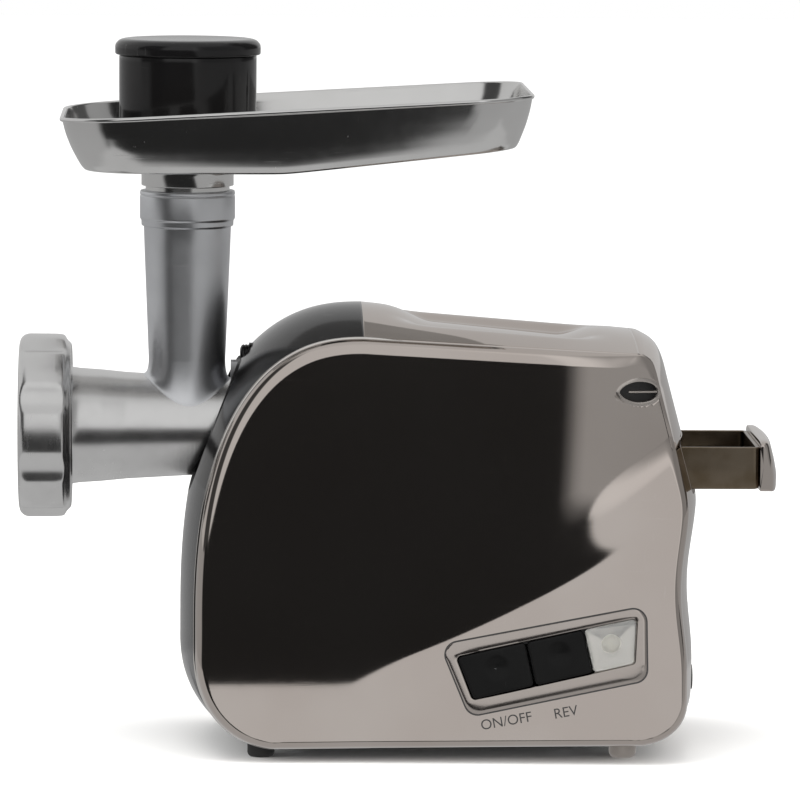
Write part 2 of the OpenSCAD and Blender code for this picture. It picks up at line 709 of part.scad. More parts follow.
plate_x = -mouth_x;
knife_t = 6;
seat_x = -mouth_x + plate_t;
head_rear_x = lug_x[1];
tube_low_r = tube_r - 2.8;
tube_low_z = auger_z + 40;
collar_z = tube_top_z - 19.4;
collar_r = 26.3;
spigot_r = 20.9;
module grinder_head() {
  color([0.75, 0.76, 0.78]) place() difference() {
    union() {
      turned([[-mouth_x, 0], [-mouth_x, thread_r], [-mouth_x + 5.5, thread_r], [-mouth_x + 5.5, thread_r - 2.2],
        [-mouth_x + 10, thread_r - 2.8], [-mouth_x + 36, thread_r - 5], [-tube_x, barrel_r + 1],
        [hub_front_x - 6, barrel_r], [head_rear_x, barrel_r], [head_rear_x, 0]]);
      for (a = [0:120:359]) intersection() {
        ring(lug_x[0], lug_x[1], lug_r, barrel_r - 2);
        sector(lug_x[0] - 1, lug_x[1] + 1, lug_r, a, lug_half_angle);
      }
      translate([-tube_x, 0, 0]) rotate_extrude() polygon([[0, auger_z], [tube_low_r + 3, auger_z],
        [tube_low_r + 3, auger_z + 25], [tube_low_r + 1.2, auger_z + 31], [tube_low_r, tube_low_z],
        [tube_r - 0.3, collar_z - 12], [tube_r, collar_z], [collar_r - 0.8, collar_z], [collar_r - 0.8, collar_z + 3],
        [collar_r, collar_z + 4], [collar_r, tube_top_z], [0, tube_top_z]]);
    }
    rod(seat_x + knife_t + 3, head_rear_x + 1, bore_r);
    rod(seat_x, seat_x + knife_t + 4, plate_r - 1.5);
    rod(-mouth_x - 1, seat_x, plate_r + 0.1);
    block([-mouth_x - 1, -2.6, auger_z - plate_r - 2.2], [seat_x, 2.6, auger_z - plate_r + 4]);
    translate([-tube_x, 0, auger_z]) cylinder(h = tube_top_z - auger_z + 1, r = tube_low_r - tube_wall);
    translate([-tube_x, 0, tube_top_z - 12.5]) cylinder(h = 20, r = spigot_r + run_gap);
    intersection() {
      ring(lug_x[1] - 4, lug_x[1] + 1, pin_ring_r + pin_r + 0.5, pin_ring_r - pin_r - 0.5);
      sector(lug_x[1] - 5, lug_x[1] + 2, lug_r, bayonet_turn / 2, bayonet_turn / 2 + 6);
    }
  }
}

// Auger: a shaft with one steep flight, a hex shank at the rear and a square stub and spigot at the front.
flight_r = bore_r - 0.5;
flight_pitch = 30;
auger_front_x = seat_x + knife_t + 3.5;
auger_rear_x = head_rear_x - 1;
flight_len = auger_rear_x - auger_front_x - 4;
stub = 4.6;
core_r = 8;
module auger() {
  color([0.7, 0.71, 0.73]) place() {
    rod(auger_front_x, auger_rear_x, core_r + 1);
    translate([auger_front_x + 2, 0, auger_z]) rotate([0, 90, 0])
      linear_extrude(flight_len, twist = -360 * flight_len / flight_pitch, slices = 60, $fn = 12)
      polygon(concat([for (a = [-150:30:150]) core_r * [cos(a), sin(a)]], [[-flight_r * 0.8, 3],
        [-flight_r + 0.1, 2.5], [-flight_r + 0.1, -2.5], [-flight_r * 0.8, -3]]));
    rod(auger_rear_x, hub_hex_x + 8, barrel_r - 12);
    translate([hub_hex_x + 8, 0, auger_z]) rotate([0, 90, 0]) cylinder(h = 22, r = hex_r, $fn = 6);
    block([seat_x + 0.5, -stub, auger_z - stub], [auger_front_x, stub, auger_z + stub]);
    rod(-mouth_x - 1, seat_x + 0.5, 3.9);
  }
}

// Knife with four blades and a square hole.
module knife() {
  color([0.6, 0.61, 0.63]) place() difference() {
    union() {
      rod(seat_x + 0.6, seat_x + knife_t, 9);
      for (a = [0:90:270]) translate([seat_x + 0.3, 0, auger_z]) rotate([a, 0, 0])
        translate([0, -4, 0]) cube([knife_t - 1.5, 8, plate_r - 3]);
    }
    block([seat_x, -stub - 0.02, auger_z - stub - 0.02], [seat_x + 20, stub + 0.02, auger_z + stub + 0.02]);
  }
}

// Plate with rings of holes about an axis along X or Z.
module plate_holes(r) {
  for (k = [1:plate_rings]) for (i = [0:6 * k - 1]) rotate([0, 0, 360 * i / (6 * k) + 8 * k])
    translate([r * (0.16 + 0.235 * k), 0, -1]) cylinder(h = plate_t + 2, r = 2.4, $fn = 24);
}

module grinding_plate() {
  color([0.62, 0.62, 0.63]) place() {
    difference() {
      rod(-mouth_x, -mouth_x + plate_t - 0.1, plate_r);
      rod(-mouth_x - 1, seat_x + 1, 3.95);
      translate([-mouth_x, 0, auger_z]) rotate([0, 90, 0]) plate_holes(plate_r);
    }
    block([-mouth_x, -2.4, auger_z - plate_r - 1.8], [-mouth_x + plate_t - 0.1, 2.4, auger_z - plate_r + 1]);
  }
}

// Ring nut with round scallops between its lobes.
nut_lobes = 8;
nut_lip_r = plate_r - 4;
module ring_nut() {
  color([0.78, 0.79, 0.8]) place() difference() {
    turned([[-nut_front_x, 0], [-nut_front_x, nut_r - 7], [-nut_front_x + 1, nut_r - 3.5],
      [-nut_front_x + 4, nut_r - 0.7], [-nut_front_x + 8, nut_r], [-mouth_x + 1.5, nut_r - 0.5],
      [-mouth_x + 5.4, nut_r - 6], [-mouth_x + 5.4, 0]]);
    for (i = [0:nut_lobes - 1]) translate([0, 0, auger_z]) rotate([360 * (i + 0.5) / nut_lobes, 0, 0])
      translate([-nut_front_x - 1, 0, nut_r + 7]) rotate([0, 90, 0]) cylinder(h = nut_depth + 8, r = 11);
    rod(-mouth_x - 1.2, -mouth_x + 10, thread_r + run_gap);
    rod(-nut_front_x - 1, -mouth_x, nut_lip_r);
    turned([[-nut_front_x - 0.1, 0], [-nut_front_x - 0.1, nut_r - 12], [-nut_front_x + 12, nut_lip_r + 2],
      [-nut_front_x + 12, 0]]);
  }
}

// ---------- tray and pusher ----------

// Ring of the tray's wall at a share s of its height, drawn in by d.
front_round = 42;
rear_round = 30;
wall_draft = 12;
function tray_ring(s, d) = let (
  pull = wall_draft * pow(1 - s, 1.6) + d,
  x0 = -tray_front_x + pull,
  x1 = tray_rear_x - pull * 0.7,
  w = tray_half_w - pull,
  rf = front_round - pull * 0.6,
  rr = rear_round - pull * 0.6,
  half = concat(
    [for (a = [0:15:90]) [x1 - rr + rr * cos(a), w - rr + rr * sin(a)]],
    [for (i = [1:5]) [x1 - rr + (floor_bend_x - x1 + rr) * i / 5, w]],
    [for (i = [1:2]) [floor_bend_x + (x0 + rf - floor_bend_x) * i / 3, w]],
    [for (a = [90:15:180]) [x0 + rf + rf * cos(a), w - rf + rf * sin(a)]]
  ),
  n = len(half)
) [
  for (i = [0:2 * n - 1]) let (q = half[i < n ? i : 2 * n - 1 - i])
    [q[0], i < n ? q[1] : -q[1], tray_level(q[0], s)]
];

// Height of the tray's sheet at a place: the floor at s = 0, the rim at s = 1.
floor_bend_x = -tube_x + 53;
function tray_level(x, s) = let (
  low = tray_floor_z + max(0, x - floor_bend_x) * floor_rise,
  high = tray_rim_z + (x + tray_front_x) * rim_rise
) low + (high - low) * s;

wall_shares = [0, 0.06, 0.16, 0.4, 0.7, 1];

neck_r = 25.5;
module hopper_tray() {
  color([0.8, 0.8, 0.8]) place() difference() {
    union() {
      difference() {
        lofted([for (s = wall_shares) tray_ring(s, 0)]);
        translate([0, 0, tray_t]) lofted([for (s = wall_shares) tray_ring(s, tray_t)]);
      }
      difference() {
        lofted([for (z = [-2.2, 0.2]) [for (p = tray_ring(1, -1.3)) p + [0, 0, z]]]);
        lofted([for (z = [-3, 1]) [for (p = tray_ring(1, 0.4)) p + [0, 0, z]]]);
      }
      translate([-tube_x, 0, 0]) rotate_extrude() polygon([[spigot_r - 2, tube_top_z - 11.5],
        [spigot_r, tube_top_z - 11.5], [spigot_r, tube_top_z], [23.2, tube_top_z], [23.2, tube_top_z + 2.6],
        [neck_r, tube_top_z + 3], [neck_r, tray_floor_z - 5], [neck_r + 1.5, tray_floor_z - 2],
        [neck_r + 5, tray_floor_z + 0.6], [spigot_r - 2, tray_floor_z + 0.6]]);
    }
    translate([-tube_x, 0, tube_top_z - 20]) cylinder(h = 60, r = spigot_r - 2);
  }
}

lid_low_z = lid_top_z - lid_h;
cup_low_z = tray_floor_z + tray_t + 0.6;
stem_low_z = auger_z + 48;
cup_wall = 2.2;
module pusher() {
  color([0.04, 0.04, 0.04]) place() translate([-tube_x, 0, 0]) rotate_extrude() polygon([
    [0, stem_low_z], [stem_r - 1, stem_low_z], [stem_r, stem_low_z + 2], [stem_r, cup_low_z], [pusher_r - 1.5, cup_low_z],
    [pusher_r, cup_low_z + 2], [pusher_r, lid_low_z], [pusher_r - cup_wall, lid_low_z],
    [pusher_r - cup_wall, cup_low_z + cup_wall], [stem_r - cup_wall, cup_low_z + cup_wall],
    [stem_r - cup_wall, stem_low_z + cup_wall], [0, stem_low_z + cup_wall]]);
}

module pusher_lid() {
  color([0.04, 0.04, 0.04]) place() translate([-tube_x, 0, 0]) rotate_extrude() polygon(concat(
    [[0, lid_low_z - 5], [pusher_r - cup_wall - 0.4, lid_low_z - 5], [pusher_r - cup_wall - 0.4, lid_low_z + 0.1],
      [lid_r, lid_low_z + 0.1]],
    [for (a = [0:15:75]) [lid_r - 4 + 4 * cos(a), lid_top_z - 4.6 + 4 * sin(a)]], [[0, lid_top_z]]));
}

// ---------- drawer ----------

bay_half_w = drawer_w / 2 + drawer_gap + 1.6;
bay_low_z = drawer_z - drawer_gap - 1.6;
bay_high_z = drawer_z + drawer_h + drawer_gap + 1.6;
bay_rear_x = skirt_rear_x - 4.4;
bay_front_x = drawer_end_x - drawer_len - 36;
module drawer_bay() {
  color([0.12, 0.12, 0.12]) place() difference() {
    block([bay_front_x, -bay_half_w, bay_low_z], [bay_rear_x, bay_half_w, bay_high_z]);
    block([bay_front_x + 2, -drawer_w / 2 - drawer_gap, drawer_z - drawer_gap],
      [bay_rear_x + 1, drawer_w / 2 + drawer_gap, drawer_z + drawer_h + drawer_gap]);
  }
}

drawer_wall = 2;
module drawer_box() {
  color([0.7, 0.68, 0.66]) place() difference() {
    block([drawer_end_x - drawer_len, -drawer_w / 2, drawer_z], [drawer_end_x, drawer_w / 2, drawer_z + drawer_h]);
    block([drawer_end_x - drawer_len + drawer_wall, -drawer_w / 2 + drawer_wall, drawer_z + drawer_wall],
      [drawer_end_x + 1, drawer_w / 2 - drawer_wall, drawer_z + drawer_h + 1]);
  }
}

// Front of the drawer: bowed in plan, leaning out towards the bottom, with a rounded top.
front_half_w = drawer_w / 2 + 3;
module drawer_front() {
  color("silver") place() intersection() {
    block([drawer_end_x, -front_half_w, drawer_z - 1.4], [cap_rear_x, front_half_w, drawer_z + drawer_h + 3.6]);
    translate([cap_rear_x - 260, 0, drawer_z - 10]) cylinder(h = 60, r = 260, $fn = 128);
    slab([[drawer_end_x, drawer_z - 5], [cap_rear_x, drawer_z - 5], [cap_rear_x, drawer_z + 6],
      [cap_rear_x - 5, drawer_z + drawer_h + 1], [cap_rear_x - 7, drawer_z + drawer_h + 3.6],
      [drawer_end_x, drawer_z + drawer_h + 3.6]], -front_half_w - 1, front_half_w + 1);
  }
}

// Two spare plates standing on a ring in the drawer.
spare_x = drawer_end_x - 42;
module spare_plates() {
  color([0.62, 0.62, 0.63]) place() {
    translate([spare_x, 0, drawer_z + drawer_wall]) for (i = [0, 1]) translate([0, 0, i * plate_t]) difference() {
      cylinder(h = plate_t, r = plate_r);
      translate([0, 0, -1]) cylinder(h = plate_t + 2, r = 4);
      plate_holes(plate_r);
    }
  }
}

// ---------- motor ----------

module stator() {
  color([0.45, 0.45, 0.47]) place() difference() {
    slab_x(stator_half, 12, core_x, core_x + core_len);
    rod(core_x - 1, core_x + core_len + 1, armature_r + air_gap, 0, motor_c[1]);
    for (a = [0, 180]) translate([0, 0, motor_c[1]]) rotate([a, 0, 0])
      block([core_x - 1, armature_r - 4, -14], [core_x + core_len + 1, armature_r + 9, 14]);
    for (y = [-1, 1]) for (z = [-1, 1])
      rod(core_x - 1, core_x + core_len + 1, bolt_r, y * bolt_at, motor_c[1] + z * bolt_at);
  }
}

// Rounded square bar along X about the motor's axis.
module slab_x(half, r, x0, x1) {
  translate([x0, 0, motor_c[1]]) rotate([90, 0, 90]) linear_extrude(x1 - x0)
    polygon(rounded([[-half, -half], [half, -half], [half, half], [-half, half]], r));
}

module field_coils() {
  color([0.6, 0.3, 0.12]) place() for (s = [-1, 1]) difference() {
    block([core_x - 7, s > 0 ? armature_r + 1.5 : -armature_r - 8.5, motor_c[1] - 13.5],
      [core_x + core_len + 7, s > 0 ? armature_r + 8.5 : -armature_r - 1.5, motor_c[1] + 13.5]);
    rod(core_x - 8, core_x + core_len + 8, armature_r + air_gap + 0.6, 0, motor_c[1]);
  }
}

module armature() {
  color([0.5, 0.4, 0.3]) place() difference() {
    union() {
      rod(core_x, core_x + core_len, armature_r, 0, motor_c[1]);
      rod(core_x - 6, core_x + core_len + 6, armature_r - 5, 0, motor_c[1]);
      rod(core_x + core_len + 6, core_x + core_len + 22, 10, 0, motor_c[1]);
    }
    rod(core_x - 20, core_x + core_len + 40, motor_shaft_r, 0, motor_c[1]);
    for (i = [0:11]) translate([core_x - 1, 0, motor_c[1]]) rotate([30 * i, 0, 0])
      translate([0, -0.8, armature_r - 3]) cube([core_len + 2, 1.6, 4]);
  }
}

module motor_shaft() {
  color("gray") place() {
    rod(first_gears_x[1], fan_x + 12, motor_shaft_r, 0, motor_c[1]);
    gear(first_gears_x[0], first_gears_x[1], first_module, motor_teeth, meshed(toward(first_c, motor_c), motor_teeth), motor_c);
  }
}

fan_r = stator_half - 5;
module fan() {
  color([0.2, 0.2, 0.2]) place() difference() {
    union() {
      rod(fan_x, fan_x + 2, fan_r, 0, motor_c[1]);
      rod(fan_x, fan_x + 10, 9, 0, motor_c[1]);
      for (i = [0:10]) translate([fan_x + 1, 0, motor_c[1]]) rotate([360 * i / 11, 0, 0])
        translate([0, -0.8, 8]) cube([8.4, 1.6, fan_r - 9]);
    }
    rod(fan_x - 1, fan_x + 20, motor_shaft_r, 0, motor_c[1]);
  }
}

module ball_bearings() {
  color("silver") place() {
    ring(front_bracket_x, front_bracket_x + bracket_t, bearing_r, motor_shaft_r + run_gap, 0, motor_c[1]);
    ring(rear_bracket_x, rear_bracket_x + bracket_t, rear_bearing_r, motor_shaft_r + run_gap, 0, motor_c[1]);
  }
}

// Bracket plate with a bearing seat, four bolt holes and two windows.
module bracket(x, seat_r) {
  difference() {
    slab_x(stator_half, 12, x, x + bracket_t);
    rod(x - 1, x + bracket_t + 1, seat_r, 0, motor_c[1]);
    for (y = [-1, 1]) for (z = [-1, 1]) rod(x - 1, x + bracket_t + 1, bolt_r, y * bolt_at, motor_c[1] + z * bolt_at);
    for (z = [-1, 1]) block([x - 1, -16, motor_c[1] + z * 24 - 6], [x + bracket_t + 1, 16, motor_c[1] + z * 24 + 6]);
  }
}

module motor_front_bracket() {
  color([0.6, 0.6, 0.62]) place() bracket(front_bracket_x, bearing_r);
}

module motor_rear_bracket() {
  color([0.6, 0.6, 0.62]) place() bracket(rear_bracket_x, rear_bearing_r);
}

// Four bolts that clamp the rear bracket, stator and front bracket to the gearbox.
module through_bolts() {
  color("gray") place() for (y = [-1, 1]) for (z = [-1, 1]) {
    rod(rear_plate_x + plate_thick, rear_bracket_x + bracket_t, bolt_r, y * bolt_at, motor_c[1] + z * bolt_at);
    rod(rear_bracket_x + bracket_t, rear_bracket_x + bracket_t + 3, 3.5, y * bolt_at, motor_c[1] + z * bolt_at);
    ring(rear_plate_x + plate_thick, front_bracket_x, 2 * bolt_r, bolt_r, y * bolt_at, motor_c[1] + z * bolt_at);
    ring(front_bracket_x + bracket_t, core_x, 2 * bolt_r, bolt_r, y * bolt_at, motor_c[1] + z * bolt_at);
    ring(core_x + core_len, rear_bracket_x, 2 * bolt_r, bolt_r, y * bolt_at, motor_c[1] + z * bolt_at);
  }
}

module brush_holders() {
  color([0.35, 0.25, 0.15]) place() for (s = [-1, 1]) {
    block([core_x + core_len + 10, s > 0 ? 10.4 : -24, motor_c[1] - 4], [rear_bracket_x, s > 0 ? 24 : -10.4, motor_c[1] + 4]);
  }
}

module motor_cradle() {
  color([0.15, 0.15, 0.15]) place() for (x = [core_x + 3, core_x + core_len - 11])
    block([x, -24, base_top_z], [x + 8, 24, motor_c[1] - stator_half]);
}

breaker_x = fan_x + 24;
breaker_h = 22;
module overload_breaker() {
  color([0.1, 0.1, 0.12]) place() {
    block([breaker_x, -18, base_top_z], [breaker_x + 20, 6, base_top_z + breaker_h]);
    rod(breaker_x - 4, breaker_x, 4, -6, base_top_z + breaker_h / 2);
  }
}

// ---------- gearbox ----------

// Solid outline of both gearbox plates.
module gearbox_plate(x, top_r) {
  rod(x, x + plate_thick, top_r);
  rod(x, x + plate_thick, 30, second_c[0] - 4, second_c[1]);
  rod(x, x + plate_thick, 24, first_c[0], first_c[1]);
  slab_x(stator_half, 12, x, x + plate_thick);
  block([x, -34, first_c[1]], [x + plate_thick, 34, auger_z]);
}

pillar_at = [[-31, auger_z - 44.5], [-31, motor_c[1] - 31], [31, motor_c[1] - 31]];
pillar_r = 3.5;
module gearbox_front_plate() {
  color([0.55, 0.55, 0.57]) place() difference() {
    gearbox_plate(front_plate_x, hub_r - 0.3);
    rod(front_plate_x - 1, front_plate_x + plate_thick + 1, output_r + run_gap);
    rod(front_plate_x - 1, front_plate_x + plate_thick + 1, spring_r + key_gap, 0, auger_z + pin_ring_r);
    for (c = [first_c, second_c]) rod(front_plate_x + 1, front_plate_x + 9, gear_pin_r, c[0], c[1]);
  }
}

module gearbox_rear_plate() {
  color([0.55, 0.55, 0.57]) place() difference() {
    gearbox_plate(rear_plate_x, hub_r - 0.3);
    rod(rear_plate_x - 1, rear_plate_x + plate_thick + 1, 7 + run_gap);
    rod(rear_plate_x - 1, rear_plate_x + plate_thick + 1, motor_shaft_r + 2, 0, motor_c[1]);
    for (c = [first_c, second_c]) rod(rear_plate_x - 1, rear_plate_x + plate_thick - 1, gear_pin_r, c[0], c[1]);
  }
}

module gearbox_pillars() {
  color("gray") place() for (p = pillar_at)
    rod(front_plate_x + plate_thick, rear_plate_x, pillar_r, p[0], p[1]);
}

module idler_pins() {
  color("gray") place() for (c = [first_c, second_c])
    rod(front_plate_x + 1, rear_plate_x + plate_thick - 1, gear_pin_r, c[0], c[1]);
}

module first_idler() {
  color([0.85, 0.83, 0.75]) place() difference() {
    union() {
      gear(first_gears_x[0], first_gears_x[1], first_module, first_teeth, toward(first_c, motor_c), first_c);
      gear(middle_gears_x[0], first_gears_x[0], middle_module, first_pinion_teeth,
        meshed(toward(second_c, first_c), first_pinion_teeth), first_c);
    }
    rod(front_plate_x, rear_plate_x, gear_pin_r + run_gap, first_c[0], first_c[1]);
  }
}

module second_idler() {
  color([0.6, 0.6, 0.62]) place() difference() {
    union() {
      gear(middle_gears_x[0], middle_gears_x[1], middle_module, second_teeth, toward(second_c, first_c), second_c);
      gear(last_gears_x[0], middle_gears_x[0], last_module, second_pinion_teeth,
        meshed(toward(output_c, second_c), second_pinion_teeth), second_c);
    }
    rod(front_plate_x, rear_plate_x, gear_pin_r + run_gap, second_c[0], second_c[1]);
  }
}

module output_gear() {
  color([0.55, 0.55, 0.57]) place() difference() {
    gear(last_gears_x[0], last_gears_x[1], last_module, output_teeth, toward(output_c, second_c), output_c);
    rod(last_gears_x[0] - 1, last_gears_x[1] + 1, output_r);
    for (i = [0:5]) translate([0, 0, auger_z]) rotate([60 * i, 0, 0])
      translate([last_gears_x[0] - 1, 0, 27]) rotate([0, 90, 0]) cylinder(h = 20, r = 8);
  }
}

// Output shaft with the hex socket that the auger's shank plugs into.
hub_hex_x = -84;
module output_shaft() {
  color([0.5, 0.5, 0.52]) place() difference() {
    union() {
      rod(hub_hex_x + 10, last_gears_x[1], output_r);
      rod(last_gears_x[1], rear_plate_x + plate_thick, 7);
    }
    translate([hub_hex_x + 9, 0, auger_z]) rotate([0, 90, 0]) cylinder(h = 22, r = hex_r + 0.1, $fn = 6);
  }
}

left_side_panel();
right_side_panel();
left_trim();
right_trim();
front_cover();
top_cover();
rear_cover();
base_plate();
left_vent();
right_vent();
front_feet();
rear_feet();
cord_inlet();
control_bezel();
on_off_key();
reverse_key();
clear_lens();
indicator_lamp();
switch_housing();
on_off_spring();
reverse_spring();
hub();
lock_button();
lock_spring();
grinder_head();
auger();
knife();
grinding_plate();
ring_nut();
hopper_tray();
pusher();
pusher_lid();
drawer_bay();
drawer_box();
drawer_front();
spare_plates();
stator();
field_coils();
armature();
motor_shaft();
fan();
ball_bearings();
motor_front_bracket();
motor_rear_bracket();
through_bolts();
brush_holders();
gearbox_front_plate();
gearbox_rear_plate();
gearbox_pillars();
first_idler();
second_idler();
idler_pins();
output_gear();
output_shaft();
motor_cradle();
overload_breaker();
base_screws();
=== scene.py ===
"""Visual model of an electric meat grinder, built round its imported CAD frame.

Sizes are in millimetres in the dataclasses, measured from the same datum plane as the CAD source, and become
metres in the row's frame when a mesh is made. Every shape is a surface of two parameters worked out with numpy.
"""

import logging
import math
from dataclasses import dataclass
from enum import Enum

import bmesh
import bpy
import numpy as np
from mathutils import Matrix, Vector


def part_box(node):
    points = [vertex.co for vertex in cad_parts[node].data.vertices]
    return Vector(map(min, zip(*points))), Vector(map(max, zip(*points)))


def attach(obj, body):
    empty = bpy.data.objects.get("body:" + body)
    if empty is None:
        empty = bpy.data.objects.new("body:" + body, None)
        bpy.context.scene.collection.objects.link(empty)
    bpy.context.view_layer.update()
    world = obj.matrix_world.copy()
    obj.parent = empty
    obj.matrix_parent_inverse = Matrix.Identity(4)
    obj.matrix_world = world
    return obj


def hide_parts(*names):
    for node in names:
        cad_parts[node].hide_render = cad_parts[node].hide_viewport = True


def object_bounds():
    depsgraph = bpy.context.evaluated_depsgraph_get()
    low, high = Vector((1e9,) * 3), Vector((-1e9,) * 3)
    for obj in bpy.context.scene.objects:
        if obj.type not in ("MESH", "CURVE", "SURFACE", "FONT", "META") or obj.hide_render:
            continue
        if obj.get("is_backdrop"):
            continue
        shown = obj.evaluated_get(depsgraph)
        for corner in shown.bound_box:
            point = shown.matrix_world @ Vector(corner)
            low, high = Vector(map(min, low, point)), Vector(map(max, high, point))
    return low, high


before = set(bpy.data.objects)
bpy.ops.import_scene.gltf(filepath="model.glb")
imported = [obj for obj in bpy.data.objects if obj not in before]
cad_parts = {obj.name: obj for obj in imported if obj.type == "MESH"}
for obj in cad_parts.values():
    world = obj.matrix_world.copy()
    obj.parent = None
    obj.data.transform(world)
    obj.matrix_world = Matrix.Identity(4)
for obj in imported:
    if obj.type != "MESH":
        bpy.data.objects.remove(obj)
CAD_LOW, CAD_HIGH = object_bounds()

LOG = logging.getLogger("grinder")
MM = 0.001
# Points nearer than this, in mm, are one point.
MERGE = 0.002
# Where the datum plane stands in the row's frame: the nut's front and the drawer's end are at equal distances.
# The hub's front is this far ahead of the plane, in mm.
HUB_AHEAD = 94.0
DATUM_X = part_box("hub")[0][0] / MM + HUB_AHEAD
AUGER_Z = 176.5
TUBE_X = -118.3


class Side(Enum):
    """The two long sides of the housing, by the sign of their Y."""

    LEFT = -1
    RIGHT = 1


# ---------------------------------------------------------------- curves and grids


def quarter(centre: tuple, reach: tuple, power: float, start: float, end: float, steps: int) -> tuple:
    """Quarter of a superellipse: centre plus reach times the signed 2/power power of cosine and sine.

    Args:
        centre: x and z of the centre.
        reach: half-lengths along x and z; arrays broadcast.
        power: exponent of the superellipse, 2 for an ellipse.
        start: first angle in degrees.
        end: last angle in degrees.
        steps: number of intervals.

    Returns:
        Arrays of x and z.
    """
    turn = np.radians(np.linspace(start, end, steps + 1))
    c, s = np.cos(turn), np.sin(turn)
    x = centre[0] + reach[0] * np.sign(c) * np.abs(c) ** (2 / power)
    z = centre[1] + reach[1] * np.sign(s) * np.abs(s) ** (2 / power)
    return x, z


def smooth(value: np.ndarray) -> np.ndarray:
    """Smoothstep: 3v^2 - 2v^3 of the value held between 0 and 1.

    Args:
        value: numbers to ease.

    Returns:
        Numbers from 0 to 1.
    """
    v = np.clip(value, 0.0, 1.0)
    return v * v * (3 - 2 * v)


def soft_step(value: np.ndarray, width: float) -> np.ndarray:
    """Softened ramp: width times log(1 + e^(value / width)), near 0 below 0 and near the value above it.

    Args:
        value: numbers to soften.
        width: how far the bend spreads to each side.

    Returns:
        The softened numbers.
    """
    return width * np.logaddexp(0.0, np.asarray(value, float) / width)


def rounded(corners: list, radius: float, steps: int = 8) -> np.ndarray:
    """Closed outline whose corners are arcs tangent to both neighbouring edges.

    Args:
        corners: corner points in order.
        radius: radius of every arc.
        steps: intervals in each arc.

    Returns:
        Array of points, one row each.
    """
    points = np.array(corners, float)
    arcs = []
    for before, here, after in zip(np.roll(points, 1, 0), points, np.roll(points, -1, 0)):
        u = (before - here) / np.linalg.norm(before - here)
        v = (after - here) / np.linalg.norm(after - here)
        half = math.acos(float(np.clip(u @ v, -1, 1))) / 2
        middle = here + (u + v) / np.linalg.norm(u + v) * radius / math.sin(half)
        first = here + u * radius / math.tan(half) - middle
        last = here + v * radius / math.tan(half) - middle
        a0 = math.atan2(first[1], first[0])
        sweep = (math.atan2(last[1], last[0]) - a0 + math.pi) % (2 * math.pi) - math.pi
        turn = a0 + sweep * np.linspace(0, 1, steps + 1)
        arcs.append(middle + radius * np.stack([np.cos(turn), np.sin(turn)], 1))
    return np.concatenate(arcs)


def angles_about(path: np.ndarray, centre: tuple) -> np.ndarray:
    """Angle of each point of a path about a centre, from 0 to a full turn.

    Args:
        path: points, one row each.
        centre: where the angles are taken from.

    Returns:
        One angle for each point.
    """
    return np.arctan2(path[:, 1] - centre[1], path[:, 0] - centre[0]) % (2 * math.pi)


def by_angle(path: np.ndarray, centre: tuple, turn: np.ndarray) -> np.ndarray:
    """Points where rays from a centre meet a closed path that the centre can see all of.

    The path is cut into short straight pieces, and each ray's distance is that of the straight line through the
    two points on either side of it.

    Args:
        path: closed path, one row per point.
        centre: where the rays start.
        turn: the rays' angles in radians.

    Returns:
        One point for each ray.
    """
    own = angles_about(path, centre)
    order = np.argsort(own)
    own, points = own[order], path[order]
    own = np.concatenate([own[-1:] - 2 * math.pi, own, own[:1] + 2 * math.pi])
    points = np.concatenate([points[-1:], points, points[:1]])
    k = np.clip(np.searchsorted(own, turn, side="right"), 1, len(own) - 1)
    a, b = points[k - 1] - centre, points[k] - centre
    ray = np.stack([np.cos(turn), np.sin(turn)], 1)
    cross = a[:, 0] * b[:, 1] - a[:, 1] * b[:, 0]
    span = ray[:, 0] * (b - a)[:, 1] - ray[:, 1] * (b - a)[:, 0]
    reach = np.where(np.abs(span) > 1e-9, cross / np.where(np.abs(span) > 1e-9, span, 1), np.linalg.norm(a, axis=1))
    return np.asarray(centre) + ray * reach[:, None]


def rays(count: int, *exact: np.ndarray) -> np.ndarray:
    """Evenly spread angles, with a few exact ones added, in order.

    Args:
        count: number of even angles.
        exact: arrays of angles that have to be among them.

    Returns:
        The angles, each once.
    """
    even = np.linspace(0, 2 * math.pi, count, endpoint=False)
    return np.unique(np.round(np.concatenate([even, *exact]), 6))


def between(inner: np.ndarray, outer: np.ndarray, shares: np.ndarray) -> np.ndarray:
    """Rings that grow from an inner path to an outer path: inner plus share times their difference.

    Args:
        inner: inner path.
        outer: outer path, with as many points.
        shares: how far out each ring lies, 0 to 1.

    Returns:
        One ring for each share.
    """
    return inner[None] + shares[:, None, None] * (outer - inner)[None]


def revolve(profile: list, count: int, axis: str, centre: tuple) -> np.ndarray:
    """Surface of revolution: each (along, radius) point of the profile turned about the axis.

    Args:
        profile: list of (place along the axis, radius) in mm.
        count: number of points round.
        axis: "x", "y" or "z".
        centre: the two coordinates of the axis: (y, z) for "x", (x, z) for "y" and (x, y) for "z".

    Returns:
        Grid of points, one row for each profile point.
    """
    p = np.array(profile, float)
    turn = np.linspace(0, 2 * math.pi, count, endpoint=False)
    along = np.repeat(p[:, :1], count, 1)
    c, s = p[:, 1:] * np.cos(turn), p[:, 1:] * np.sin(turn)
    if axis == "x":
        return np.stack([along, centre[0] + c, centre[1] + s], 2)
    if axis == "y":
        return np.stack([centre[0] + c, along, centre[1] + s], 2)
    return np.stack([centre[0] + c, centre[1] + s, along], 2)


